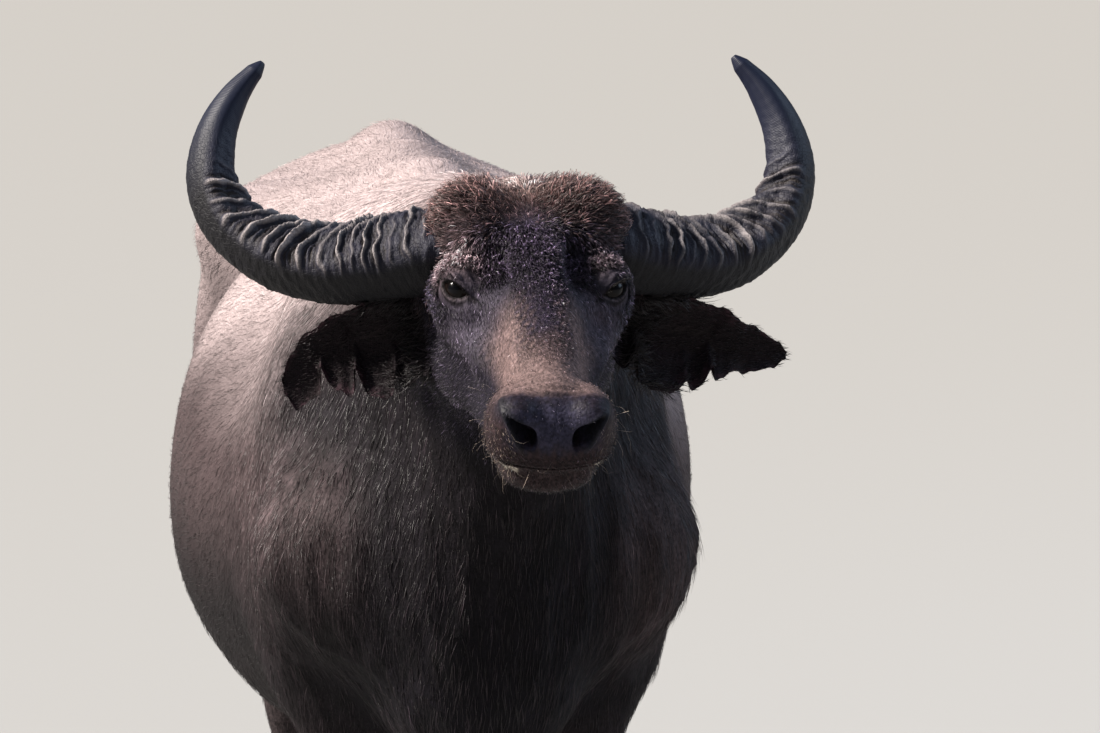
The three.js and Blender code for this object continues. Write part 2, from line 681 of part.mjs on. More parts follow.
// A flat tapered lock along a bent path: its root, its way, its length, how far it hangs down, and its width
function lock(root, way, length, droop, width) {
  const points = [];
  const [ringCount, sides] = [4, 4];
  const flat = way.clone().cross(new THREE.Vector3(0, 0, 1)).normalize();
  for (let i = 0; i < ringCount; i++) {
    const s = i / ringCount;
    const at = root.clone().addScaledVector(way, length * s);
    at.z -= droop * s * s;
    const along = way.clone().multiplyScalar(length);
    along.z -= 2 * droop * s;
    along.normalize();
    const deep = along.clone().cross(flat).normalize();
    const w = (width / 2) * graded([[0, 0.8], [0.35, 1], [1, 0.25]], s);
    for (let j = 0; j < sides; j++) {
      const a = (j / sides) * 2 * Math.PI;
      const point = at.clone().addScaledVector(flat, Math.cos(a) * w);
      points.push(point.addScaledVector(deep, Math.sin(a) * w * 0.42));
    }
  }
  const tip = root.clone().addScaledVector(way, length);
  tip.z -= droop;
  points.push(root.clone().addScaledVector(way, -1), tip);
  return solidOf(closedSurface(points, ringCount, sides));
}

// Tail switch: a slim core that carries on the tail, and locks that hang round it
function tailSwitch() {
  const start = tailPath.getPointAt(1);
  const core = new THREE.CylinderGeometry(14, 5, tailEnd - switchEnd - 90, 8, 1).rotateX(Math.PI / 2);
  core.translate(start.x, start.y, tailEnd - gap - (tailEnd - switchEnd - 90) / 2);
  const draw = seededDraws(31);
  const pieces = [solidOf(core)];
  for (let i = 0; i < switchLocks; i++) {
    const s = i / switchLocks;
    const turn = i * 2.39996 + (draw() - 0.5) * 0.5;
    const z = mix(tailEnd - 14, tailEnd - 165, s);
    const outward = new THREE.Vector3(Math.cos(turn), Math.sin(turn), 0);
    const root = new THREE.Vector3(start.x, start.y, z).addScaledVector(outward, mix(9, 4, s));
    const length = mix(86, 60, s) + 16 * draw();
    const droop = Math.min(mix(95, 150, draw()), z - switchEnd);
    const way = outward.multiplyScalar(0.2).setZ(-0.98).normalize();
    pieces.push(lock(root, way, length, droop - length * 0.4, 25));
  }
  return largest(together(pieces));
}

// Looks
const look = (color, roughness) => new THREE.MeshStandardMaterial({ color, roughness, metalness: 0 });
const hide = look(0x4a3f3b, 0.8);
const darkHide = look(0x2c2322, 0.8);
const hornLook = look(0x3b3b42, 0.55);
const hoofLook = look(0x34302e, 0.5);
const eyeLook = look(0x14100e, 0.08);
const hairLook = look(0x1d1715, 0.85);

// The animal: each node in the group of what it hangs on
const animal = new THREE.Group();
function add(name, solid, material, parent = animal) {
  const mesh = new THREE.Mesh(geometryOf(solid), material);
  mesh.name = name;
  parent.add(mesh);
  return mesh;
}

const torsoCutter = torsoTube(gap);
const headCutter = headTube(gap);
const torso = add("torso", torsoTube(0), hide);
const neck = add("neck", neckTube(), darkHide, torso);
const head = add("head", headSolid(), hide, neck);
for (const [name, side] of [["left", 1], ["right", -1]]) {
  add("eye_" + name, eyeSphere(side, eyeballRadius, 16, 10), eyeLook, head);
  add("horn_" + name, without(horn(side, hornSpread[name]), headCutter), hornLook, head);
  const hornCutter = horn(side, hornSpread[name], gap * 2);
  add("ear_" + name, without(ear(side, name), headCutter, hornCutter), darkHide, head);
}
for (const [name, pose] of Object.entries(stance)) {
  const side = name.endsWith("left") ? 1 : -1;
  const leg = name.startsWith("fore") ? foreleg(side, pose) : hindleg(side, pose);
  const ways = [["inner", -side], ["outer", side]];
  const cutters = ways.flatMap(([, way]) => [claw(leg.foot, way, gap), dewclaw(leg.fetlock, way, gap)]);
  const flesh = add(name, without(legTube(leg, 14, 22), torsoCutter, ...cutters), darkHide, torso);
  for (const [place, way] of ways) {
    add(`${name}_claw_${place}`, claw(leg.foot, way), hoofLook, flesh);
    add(`${name}_dewclaw_${place}`, dewclaw(leg.fetlock, way), hoofLook, flesh);
  }
}
const tail = add("tail", without(tailTube(), torsoCutter), darkHide, torso);
add("tail_switch", tailSwitch(), hairLook, tail);

// The frame's origin is on the floor, under the middle of the whole animal
const middle = new THREE.Box3().setFromObject(animal).getCenter(new THREE.Vector3());
animal.position.set(-middle.x, -middle.y, 0);

export default animal;
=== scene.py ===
import bmesh
import bpy
import numpy as np
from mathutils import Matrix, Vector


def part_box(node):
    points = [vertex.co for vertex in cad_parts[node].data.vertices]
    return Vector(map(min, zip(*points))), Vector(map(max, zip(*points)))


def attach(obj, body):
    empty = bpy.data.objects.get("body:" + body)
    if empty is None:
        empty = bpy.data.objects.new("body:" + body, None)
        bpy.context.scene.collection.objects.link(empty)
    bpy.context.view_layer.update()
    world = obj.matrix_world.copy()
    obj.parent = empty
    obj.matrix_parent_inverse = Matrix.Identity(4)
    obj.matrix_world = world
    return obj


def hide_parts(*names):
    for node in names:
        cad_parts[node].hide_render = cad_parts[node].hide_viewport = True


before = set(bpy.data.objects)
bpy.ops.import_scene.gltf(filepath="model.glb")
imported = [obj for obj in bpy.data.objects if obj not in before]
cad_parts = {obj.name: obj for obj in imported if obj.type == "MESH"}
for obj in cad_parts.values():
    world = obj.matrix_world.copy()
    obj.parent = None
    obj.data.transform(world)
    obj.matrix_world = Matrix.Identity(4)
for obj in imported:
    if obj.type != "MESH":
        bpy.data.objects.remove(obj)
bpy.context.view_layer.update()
print("frame loaded:", len(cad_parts), "nodes")

# Driving sizes in millimetres, as the solids have them. The animal faces -Y and its left side is +X.
body = {
    "withersHeight": 1380,
    "sacrumHeight": 1350,
    "sacrumBack": 905,
    "rumpBack": 1250,
    "bellyHeight": 566,
    "barrelHalfWidth": 342,
    "eyesPlace": (23, -632, 1327),
    "headPitch": 29,
    "headRoll": 1,
    "elbowHeight": 735,
    "kneeHeight": 390,
    "stifleHeight": 750,
    "hockHeight": 510,
    "fetlockHeight": 168,
    "tailEnd": 715,
    "switchEnd": 425,
}
stance = {
    "foreleg_left": {"side": 1, "foot": 118, "step": -28},
    "foreleg_right": {"side": -1, "foot": 118, "step": 22},
    "hindleg_left": {"side": 1, "foot": 122, "step": 34},
    "hindleg_right": {"side": -1, "foot": 122, "step": -38},
}


# Half the sum of a CAD node's two box corners, in metres
def middleOf(node):
    low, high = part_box(node)
    return (np.array(low) + np.array(high)) / 2


# The forms' own origin lies under the withers, and the frame's under the middle of the animal
shift = (middleOf("eye_left") + middleOf("eye_right")) / 2 - np.array(body["eyesPlace"]) / 1000


# Millimetres from the forms' origin over a thousand, plus the shift
def toMetres(points):
    return np.asarray(points, float) / 1000 + shift


# The way back: metres less the shift, times a thousand
def toForms(points):
    return (np.asarray(points, float) - shift) * 1000


# A vector over its length
def unit(v):
    return v / (np.linalg.norm(v, axis=-1, keepdims=True) + 1e-12)


# The straight line from a at t = 0 to b at t = 1
def mix(a, b, t):
    return a + (b - a) * t


# 0 below low, 1 above high, and the curve 3t^2 - 2t^3 in between
def ramp(value, low, high):
    t = np.clip((value - low) / (high - low), 0, 1)
    return t * t * (3 - 2 * t)


# A bell of a given half width: e to the minus square
def bell(value, width):
    return np.exp(-((value / width) ** 2))


# A value that passes smoothly through stops ((at, value), ...)
def graded(stops, at):
    at = np.asarray(at, float)
    value = np.full(at.shape, float(stops[0][1]))
    for (start, startValue), (end, endValue) in zip(stops, stops[1:]):
        value = np.where(at > start, mix(startValue, endValue, ramp(at, start, end)), value)
    return value


# Turns about X and Y in degrees: the head's own frame has its origin between the eyes, -Y towards the muzzle
# and +Z out of the forehead
def turned(aboutX, aboutY):
    a, b = np.radians(aboutX), np.radians(aboutY)
    x = np.array([[1, 0, 0], [0, np.cos(a), -np.sin(a)], [0, np.sin(a), np.cos(a)]])
    y = np.array([[np.cos(b), 0, np.sin(b)], [0, 1, 0], [-np.sin(b), 0, np.cos(b)]])
    return y @ x


headTurn = turned(body["headPitch"], body["headRoll"])


# Head to forms: turned, then moved to the eyes' middle
def fromHead(points):
    return np.asarray(points, float) @ headTurn.T + np.array(body["eyesPlace"], float)


# Forms to head: moved back, then turned by the transpose
def toHead(points):
    return (points - np.array(body["eyesPlace"], float)) @ headTurn


# The forms of flesh. A ball is an ellipsoid tilted about X, a limb a cone with round ends, a pair stands on
# both sides of the midline and a hollow is taken away. Each melts into what came before over its blend.
def ball(at, size, blend, tilt=0, **more):
    tilt = np.radians(tilt)
    return {"at": at, "size": size, "blend": blend, "cos": np.cos(tilt), "sin": np.sin(tilt), **more}


def limb(start, end, startRadius, endRadius, blend, **more):
    return {"start": start, "end": end, "radii": (startRadius, endRadius), "blend": blend, **more}


# Distance to one form, negative inside. Ball: n(n - 1) over the length of its gradient, where n is the
# point's length in units of the half axes. Limb: distance to its axis less the radius there.
def distanceTo(form, x, y, z):
    if form.get("pair"):
        x = np.abs(x)
    if "size" in form:
        dx, dy, dz = x - form["at"][0], y - form["at"][1], z - form["at"][2]
        ty = dy * form["cos"] + dz * form["sin"]
        tz = dz * form["cos"] - dy * form["sin"]
        a, b, c = form["size"]
        near = np.sqrt((dx / a) ** 2 + (ty / b) ** 2 + (tz / c) ** 2)
        steep = np.sqrt((dx / a**2) ** 2 + (ty / b**2) ** 2 + (tz / c**2) ** 2)
        return near * (near - 1) / (steep + 1e-9)
    start, end = np.array(form["start"], float), np.array(form["end"], float)
    bx, by, bz = end - start
    dx, dy, dz = x - start[0], y - start[1], z - start[2]
    t = np.clip((dx * bx + dy * by + dz * bz) / (bx * bx + by * by + bz * bz), 0, 1)
    reach = np.sqrt((dx - bx * t) ** 2 + (dy - by * t) ** 2 + (dz - bz * t) ** 2)
    return reach - mix(form["radii"][0], form["radii"][1], t)


# The smaller of two distances, less a quarter of the blend where they are alike
def joined(a, b, blend):
    h = np.maximum(blend - np.abs(a - b), 0) / blend
    return np.minimum(a, b) - h * h * blend / 4


# Forms joined one after the other. A hollow is taken away: the join of both distances with their signs turned.
def melted(forms, points):
    x, y, z = points[:, 0], points[:, 1], points[:, 2]
    d = np.full(len(points), 1e6)
    for form in forms:
        e = distanceTo(form, x, y, z)
        d = -joined(-d, e, form["blend"]) if form.get("hollow") else joined(d, e, form["blend"])
    return d


sacrumBack, rumpBack, bellyHeight = body["sacrumBack"], body["rumpBack"], body["bellyHeight"]
trunkForms = [
    ball((0, 380, 952), (body["barrelHalfWidth"], 600, 372), 1),
    ball((0, 470, bellyHeight + 285), (322, 470, 285), 80),
    ball((0, 20, 985), (225, 360, 362), 90),
    ball((0, -225, 835), (130, 168, 190), 80),
    ball((0, 700, 1145), (245, 330, 172), 80),
    ball((0, 965, 1125), (222, 278, 196), 70),
    limb((0, -50, body["withersHeight"] - 57), (0, 330, 1316), 33, 30, 66),
    limb((0, 330, 1314), (0, sacrumBack, 1296), 27, 21, 100),
    ball((0, sacrumBack, body["sacrumHeight"] - 49), (25, 62, 32), 50),
    ball((0, 1165, 1200), (62, 88, 62), 70),
    ball((228, 852, 1208), (54, 92, 50), 110, -16, pair=True),
    ball((118, rumpBack - 45, 1105), (46, 44, 52), 70, pair=True),
    limb((105, 50, 1262), (166, -200, 950), 62, 84, 130, pair=True),
    limb((166, -198, 935), (168, 0, 810), 82, 78, 110, pair=True),
    ball((178, 55, 940), (72, 125, 175), 70, -12, pair=True),
    ball((158, 1020, 950), (122, 206, 290), 80, 8, pair=True),
    ball((188, 868, 818), (86, 118, 152), 80, 10, pair=True),
    limb((112, rumpBack - 80, 1070), (160, 1115, 830), 84, 78, 70, pair=True),
    ball((330, 672, 1196), (84, 112, 84), 120, pair=True, hollow=True),
]
neckForms = [
    limb((0, 0, 1274), (18, -420, 1352), 76, 76, 1),
    limb((0, -60, 1120), (20, -420, 1262), 190, 112, 90),
    limb((0, -250, 925), (20, -440, 1178), 132, 84, 90),
]
headForms = [
    ball((0, 95, -42), (98, 105, 90), 1),
    ball((0, 128, 2), (82, 58, 50), 30),
    ball((0, 42, -12), (88, 112, 66), 40),
    ball((83, 9, -2), (31, 42, 32), 26, pair=True),
    limb((92, 34, -42), (60, -90, -42), 24, 18, 40, pair=True),
    limb((0, -10, 8), (0, -214, -8), 44, 33, 40),
    ball((0, -100, -48), (58, 150, 56), 40),
    ball((70, 45, -98), (34, 85, 78), 40, pair=True),
    limb((64, 55, -148), (24, -205, -86), 34, 24, 40, pair=True),
    limb((0, 30, -118), (0, -200, -68), 62, 36, 40),
    ball((0, -236, -26), (68, 46, 46), 30),
    ball((47, -228, -30), (29, 44, 44), 24, pair=True),
    ball((45, -252, 4), (22, 24, 22), 20, pair=True),
    ball((0, -258, -36), (50, 28, 24), 18),
    ball((0, -230, -86), (48, 43, 25), 16),
    ball((30, -226, -85), (26, 34, 23), 14, pair=True),
    ball((64, 100, 20), (50, 58, 48), 24, pair=True),
    ball((60, -78, -26), (17, 26, 15), 12, pair=True),
    ball((80, -116, -2), (25, 62, 26), 22, pair=True, hollow=True),
    ball((48, 2, 32), (20, 30, 9), 30, pair=True, hollow=True),
]


# A foreleg's joints and forms, from inside the trunk down to the coronet: shoulder, elbow, forearm, knee,
# cannon with its tendon, fetlock and pastern. Foot and step are its place across and along.
def foreleg(side, foot, step):
    elbow = np.array((150 * side, 8 + step * 0.2, body["elbowHeight"]))
    knee = np.array((mix(foot, 152, 0.35) * side, -38 + step * 0.7, body["kneeHeight"]))
    fetlock = np.array((foot * side, -28 + step, body["fetlockHeight"]))
    coronet = np.array((foot * side, -62 + step, 84))
    forms = [
        limb((148 * side, -60, 900), elbow + (0, -10, 20), 88, 78, 1),
        ball(elbow + (4 * side, 44, 8), (40, 50, 62), 50),
        limb(elbow + (0, -18, 10), knee + (0, 8, 130), 76, 51, 60),
        limb(knee + (0, 8, 130), knee + (0, 2, 40), 48, 44, 40),
        ball(knee, (48, 50, 54), 30),
        limb(knee + (0, 8, -45), fetlock + (0, 2, 50), 32, 29, 30),
        limb(knee + (0, 26, -40), fetlock + (0, 24, 40), 18, 17, 16),
        ball(fetlock, (43, 45, 44), 26),
        limb(fetlock, coronet, 39, 42, 24),
        ball(coronet + (0, -4, -8), (60, 58, 28), 26),
    ]
    return {"forms": forms, "fetlock": fetlock, "foot": (foot * side, -88 + step)}


# A hind leg in the same way: thigh, stifle, hock with its point, cannon with its tendon, fetlock and pastern
def hindleg(side, foot, step):
    stifle = np.array((178 * side, 858 + step * 0.25, body["stifleHeight"]))
    hock = np.array((mix(foot, 150, 0.3) * side, 1072 + step * 0.8, body["hockHeight"]))
    fetlock = np.array((foot * side, 1040 + step, body["fetlockHeight"]))
    coronet = np.array((foot * side, 1004 + step, 84))
    inward = np.array((side, 1, 1))
    forms = [
        limb((160 * side, 940, 930), stifle + inward * (-8, 26, 10), 104, 82, 1),
        limb(stifle + inward * (-8, 34, 0), hock + inward * (2, -40, 104), 80, 46, 60),
        limb((150 * side, 1088, 880), hock + inward * (2, -4, 104), 90, 34, 70),
        limb(hock + inward * (2, -26, 100), hock + (0, -4, 0), 40, 41, 40),
        limb(hock + (0, 16, 110), hock + (0, 42, 34), 19, 27, 26),
        ball(hock, (42, 50, 58), 30),
        limb(hock + (0, 6, -50), fetlock + (0, 2, 50), 33, 29, 30),
        limb(hock + (0, 32, -30), fetlock + (0, 28, 40), 20, 17, 16),
        ball(fetlock, (43, 46, 45), 26),
        limb(fetlock, coronet, 39, 42, 24),
        ball(coronet + (0, -4, -8), (60, 58, 28), 26),
    ]
    return {"forms": forms, "fetlock": fetlock, "foot": (foot * side, 976 + step)}


legs = {name: (foreleg if name[0] == "f" else hindleg)(**pose) for name, pose in stance.items()}


# A smooth path through points, at equal steps of its length: the centripetal cubic that passes each point
# with the slope of its neighbours. Returns points and their unit tangents at shares s of the length.
def pathAt(points, s):
    p = np.array(points, float)
    p = np.vstack((2 * p[0] - p[1], p, 2 * p[-1] - p[-2]))
    gaps = np.sqrt(np.linalg.norm(np.diff(p, axis=0), axis=1))
    t = np.linspace(0, 1, 40)[:, None]
    pieces = []
    for i in range(1, len(p) - 2):
        before, here, after = gaps[i - 1], gaps[i], gaps[i + 1]
        last, this = (p[i] - p[i - 1]) / before, (p[i + 1] - p[i]) / here
        following = (p[i + 2] - p[i + 1]) / after
        slopeIn = last - (p[i + 1] - p[i - 1]) / (before + here) + this
        slopeOut = this - (p[i + 2] - p[i]) / (here + after) + following
        m0, m1 = slopeIn * here, slopeOut * here
        curve = p[i] + m0 * t + (-3 * p[i] + 3 * p[i + 1] - 2 * m0 - m1) * t**2
        pieces.append(curve + (2 * p[i] - 2 * p[i + 1] + m0 + m1) * t**3)
    line = np.vstack([pieces[0]] + [piece[1:] for piece in pieces[1:]])
    length = np.append(0, np.cumsum(np.linalg.norm(np.diff(line, axis=0), axis=1)))
    at = np.asarray(s, float) * length[-1]
    slope = np.gradient(line, length, axis=0)
    point = np.stack([np.interp(at, length, line[:, k]) for k in range(3)], -1)
    return point, unit(np.stack([np.interp(at, length, slope[:, k]) for k in range(3)], -1))


tail = {
    "path": (
        (0, 1165, 1226),
        (0, rumpBack - 8, 1206),
        (2, rumpBack + 28, 1110),
        (6, rumpBack + 26, 930),
        (9, rumpBack + 18, 800),
        (10, rumpBack + 14, body["tailEnd"]),
    ),
    "radii": ((0, 46), (0.2, 34), (0.45, 22), (0.75, 16), (1, 14)),
    "pieces": 12,
}
melts = {"neck": 110, "head": 60, "legs": 50, "tail": 40}


# Limbs end to end along the tail's path, each from one radius to the next
def tailForms():
    s = np.linspace(0, 1, tail["pieces"] + 1)
    at, _ = pathAt(tail["path"], s)
    radius = graded(tail["radii"], s)
    return [limb(at[i], at[i + 1], radius[i], radius[i + 1], 8) for i in range(tail["pieces"])]


tailPieces = tailForms()


# The whole body as one distance: trunk and neck, then head, legs and tail, each melted on over its own width.
# Points go through in parts of 20,000 to keep the arrays small.
def bodyField(points):
    parts = []
    for piece in np.array_split(points, max(1, len(points) // 20000)):
        d = joined(melted(trunkForms, piece), melted(neckForms, piece), melts["neck"])
        d = joined(d, melted(headForms, toHead(piece)), melts["head"])
        for leg in legs.values():
            d = joined(d, melted(leg["forms"], piece), melts["legs"])
        parts.append(joined(d, melted(tailPieces, piece), melts["tail"]))
    return np.concatenate(parts)


# Steps each point along the field's slope, by the field's excess over the slope's square, to the level asked
def settled(points, level, rounds=3):
    for _ in range(rounds):
        value = bodyField(points)
        slope = np.stack([bodyField(points + step) - value for step in np.eye(3)], -1)
        steep = np.maximum(np.sum(slope**2, -1, keepdims=True), 0.25)
        points = points - np.clip((value - level)[:, None] / steep, -15, 15) * slope
    return points


# How deep the skin lies under the solids' faces for the coat: thick on the body, thin on face and feet
depths = {"body": 3.5, "face": 0.6, "feet": 1.2}


def coatDepth(points):
    onFace = ramp(-toHead(points)[:, 1], -90, 20)
    onFeet = ramp(-points[:, 2], -520, -260)
    return mix(mix(depths["body"], depths["face"], onFace), depths["feet"], onFeet)


# Surface net of a field on a grid: a point in each cell whose corners differ in sign, and a square of four
# such points round each grid edge that crosses the surface
def netOver(field, low, high, cell):
    axes = [np.arange(low[k], high[k] + cell, cell) for k in range(3)]
    grid = np.stack(np.meshgrid(*axes, indexing="ij"), -1)
    inside = (field(grid.reshape(-1, 3)) < 0).reshape(grid.shape[:3])
    nx, ny, nz = (size - 1 for size in inside.shape)
    corners = sum(
        inside[i : nx + i, j : ny + j, k : nz + k].astype(int)
        for i in (0, 1)
        for j in (0, 1)
        for k in (0, 1)
    )
    mixed = (corners > 0) & (corners < 8)
    index = np.full(mixed.shape, -1)
    index[mixed] = np.arange(mixed.sum())
    points = np.array(low) + (np.argwhere(mixed) + 0.5) * cell
    squares = []
    for axis in range(3):
        order = (axis, (axis + 1) % 3, (axis + 2) % 3)
        side, number = inside.transpose(order), index.transpose(order)
        start, end = side[:-1, 1:-1, 1:-1], side[1:, 1:-1, 1:-1]
        for crossing, turn in ((start & ~end, 1), (~start & end, -1)):
            i, j, k = np.nonzero(crossing)
            round4 = [number[i, j + a, k + b] for a, b in ((0, 0), (1, 0), (1, 1), (0, 1))]
            squares.append(np.stack(round4[::turn], -1))
    return points, np.vstack(squares)


# Mean of each point's neighbours along the edges
def neighbourMean(points, edges):
    both = np.vstack((edges, edges[:, ::-1]))
    count = np.bincount(both[:, 0], minlength=len(points))
    total = [np.bincount(both[:, 0], weights=points[both[:, 1], k], minlength=len(points)) for k in range(3)]
    return np.stack(total, -1) / np.maximum(count, 1)[:, None]


# One property of all items of a mesh as an array with a row for each item
def arrayOf(items, name, width, kind=float):
    flat = np.zeros(len(items) * width, kind)
    items.foreach_get(name, flat)
    return flat.reshape(-1, width) if width > 1 else flat


# Points and edges of a mesh, and new places for its points, as whole arrays
def meshPoints(mesh):
    return arrayOf(mesh.vertices, "co", 3, np.float32).astype(float)


def meshEdges(mesh):
    return arrayOf(mesh.edges, "vertices", 2, np.int32)


def setPoints(mesh, points):
    mesh.vertices.foreach_set("co", np.asarray(points, np.float32).ravel())
    mesh.update()


# A mesh from points and faces in metres, smooth shaded. Faces come in arrays, one for each number of corners.
def newMesh(name, points, *faces):
    mesh = bpy.data.meshes.new(name)
    corners = np.concatenate([part.ravel() for part in faces])
    sizes = np.concatenate([np.full(len(part), part.shape[1]) for part in faces])
    mesh.vertices.add(len(points))
    mesh.vertices.foreach_set("co", np.asarray(points, np.float32).ravel())
    mesh.loops.add(len(corners))
    mesh.loops.foreach_set("vertex_index", corners.astype(np.int32))
    mesh.polygons.add(len(sizes))
    mesh.polygons.foreach_set("loop_start", (np.cumsum(sizes) - sizes).astype(np.int32))
    mesh.polygons.foreach_set("use_smooth", np.ones(len(sizes), bool))
    mesh.update(calc_edges=True)
    return mesh


# Keeps one number for each point of a mesh
def store(mesh, name, values):
    mesh.attributes.new(name, "FLOAT", "POINT").data.foreach_set("value", np.asarray(values, np.float32))


# Keeps one colour for each point, with full alpha
def storeColor(mesh, name, color):
    full = np.hstack((color, np.ones((len(color), 1)))).astype(np.float32)
    mesh.attributes.new(name, "FLOAT_COLOR", "POINT").data.foreach_set("color", full.ravel())


# An object with one material that rides on the body root, in place of the CAD nodes that are named
def newPiece(name, mesh, slotName, material, *replacing):
    piece = bpy.data.objects.new(name, mesh)
    bpy.context.scene.collection.objects.link(piece)
    mesh.materials.clear()
    mesh.materials.append(material)
    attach(piece, "root")
    if replacing:
        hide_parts(*replacing)
    return piece


# Evens the net out, each point going 0.6 of the way to its neighbours' mean, and brings it back to the level
# under the coat
def relaxed(points, edges, rounds):
    for _ in range(rounds):
        points = mix(points, neighbourMean(points, edges), 0.6)
        points = settled(points, -coatDepth(points), 1)
    return settled(points, -coatDepth(points), 2)


# Cuts the faces of a zone in four by halving their edges, then evens out and settles the points there
def refined(mesh, zone, rounds=2):
    points, edges = meshPoints(mesh), meshEdges(mesh)
    chosen = zone(points[edges].mean(1))
    net = bmesh.new()
    net.from_mesh(mesh)
    net.edges.ensure_lookup_table()
    cut = [net.edges[i] for i in np.nonzero(chosen)[0]]
    bmesh.ops.subdivide_edges(net, edges=cut, cuts=1, use_grid_fill=True)
    net.to_mesh(mesh)
    net.free()
    points, edges = meshPoints(mesh), meshEdges(mesh)
    inZone = zone(points)
    here = np.nonzero(inZone)[0]
    for _ in range(rounds):
        points[here] = mix(points, neighbourMean(points, edges), 0.5)[here]
        points[here] = settled(points[here], -coatDepth(points[here]), 1)
    setPoints(mesh, points)


eyes = {
    "halfSpread": 88,
    "ballRadius": 21,
    "way": (0.52, -0.68, 0.5),
    "along": (1, 0.34, 0.1),
    "lidRadius": 24,
    "openHalf": 17,
    "openUpper": 6.8,
    "openLower": 10.4,
    "slant": 0.12,
    "lid": 4.6,
    "socketFloor": 14.5,
    "corneaRise": 1.3,
    "pupil": (6.2, 4.6),
    "iris": (12.2, 14.6),
}
mouth = {"pivot": -205, "height": -54, "sag": 13, "cornerTurn": 108, "inset": 8.0, "half": 2.1}
nostrils = {"at": (40, -4), "turn": 40, "half": 23.5, "wide": 12.2, "narrow": 6.2, "bend": 2.5, "deep": 34}


# The eye's middle and own frame on one side: u along the opening towards the ear, v up and w out of the eye
def eyeFrame(side):
    w = unit(np.array(eyes["way"]) * (side, 1, 1))
    u = np.array(eyes["along"]) * (side, 1, 1)
    u = unit(u - w * np.dot(u, w))
    v = np.cross(w, u) * side
    return np.array((eyes["halfSpread"] * side, 0, 0)), np.stack((u, v, w))


# Whether a point is less than a reach from the middle of either eye
def nearEye(points, reach):
    local = toHead(points)
    away = [np.linalg.norm(local - eyeFrame(side)[0], axis=1) for side in (1, -1)]
    return np.minimum(*away) < reach


# Share from -1 to 1 round the lips, which is the angle round a pivot over the corner's angle, and height over
# the line of the mouth, which sags by the square of the share
def overMouth(local):
    share = np.degrees(np.arctan2(local[:, 0], -(local[:, 1] - mouth["pivot"]))) / mouth["cornerTurn"]
    return share, local[:, 2] - (mouth["height"] - mouth["sag"] * share**2)


# 1 on the head, and 0 behind the poll or as far below the jaw as chest and forelegs are: a ramp along the head
# times a ramp over its height
def headShare(local, full, none):
    return ramp(local[..., 1], none, full) * ramp(local[..., 2], -300, -230)


# How far a point is out of a nostril's comma: 0 on its middle line, 1 on its rim. The comma lies along a line
# that slants up and out, is widest at its lower inner end and bends inwards.
def outOfNostril(local):
    turn = np.radians(nostrils["turn"])
    x = np.abs(local[:, 0]) - nostrils["at"][0]
    z = local[:, 2] - nostrils["at"][1]
    along = (x * np.sin(turn) + z * np.cos(turn)) / nostrils["half"]
    across = x * np.cos(turn) - z * np.sin(turn) + nostrils["bend"] * (1 - along**2)
    half = mix(nostrils["wide"], nostrils["narrow"], ramp(along, -0.6, 0.9))
    return np.sqrt((across / half) ** 2 + along**2) + 4 * ramp(local[:, 1], -238, -215)


# Whether a point is within 6 mm of the line of the mouth, or within 1.4 times a nostril
def nearMouthOrNostril(points):
    local = toHead(points)
    share, height = overMouth(local)
    lips = (np.abs(height) < 6.2) & (np.abs(share) < 1.02) & (local[:, 1] < -160)
    return lips | ((outOfNostril(local) < 1.4) & (local[:, 1] < -225))


# Whether a point is on the head and in front of a plane that far behind the eyes
def onHead(points, back):
    local = toHead(points)
    return (local[:, 1] < back) & (np.abs(local[:, 0]) < 135) & (local[:, 2] > -260)


# Zones of the skin that are cut finer, one inside the other: head, feet and tail, then face and tail, then eyes
# and muzzle, then lids, lips and nostrils
def headFeetTail(points):
    return onHead(points, 165) | (points[:, 2] < 470) | ((points[:, 1] > 1262) & (points[:, 2] < 1230))


def faceTail(points):
    return onHead(points, 32) | ((points[:, 1] > 1262) & (points[:, 2] < 1130))


def eyesMuzzle(points):
    return nearEye(points, 48) | onHead(points, -192)


def lidsLips(points):
    return nearEye(points, 27) | nearMouthOrNostril(points)


skinShape = {
    "cell": 16,
    "low": (-380, -1010, 20),
    "high": (380, 1340, 1480),
    "zones": (headFeetTail, faceTail, eyesMuzzle, lidsLips),
    "swell": 2.6,
    "neckFolds": 7.5,
    "ribs": 0.9,
    "ribSpacing": 62,
}


# The net over the body in 16 mm cells, evened out and then cut finer zone by zone
def bareSkin():
    points, squares = netOver(bodyField, skinShape["low"], skinShape["high"], skinShape["cell"])
    mesh = newMesh("skin", points, squares)
    setPoints(mesh, relaxed(points, meshEdges(mesh), 4))
    for zone in skinShape["zones"]:
        refined(mesh, zone)
    return mesh


# A smooth wandering value from about -1 to 1: a sum of sines along seeded directions, a scale in mm apart
def wander(points, scale, seed, stretch=(1, 1, 1)):
    draw = np.random.default_rng(seed)
    value = np.zeros(len(points))
    for _ in range(7):
        way = unit(draw.normal(size=3)) * (0.6 + 0.8 * draw.random()) * 2 * np.pi / scale
        value += np.sin(points @ (way / np.array(stretch)) + 2 * np.pi * draw.random())
    return value / 3.6


# Distance out of the almond between the lids, negative in the opening: above its upper curve, below its
# lower one, or past its corners. Each curve is a height over a slanting line times a power of
# 1 - (u / half)^2.
def outOfAlmond(u, v):
    half = eyes["openHalf"]
    line = eyes["slant"] * u
    rise = np.clip(1 - (u / half) ** 2, 0, 1)
    above = v - line - eyes["openUpper"] * rise**0.8
    below = line - eyes["openLower"] * rise**0.7 - v
    past = np.abs(u) - half
    return np.where(past > 0, np.hypot(past, v - line), np.maximum(above, below))


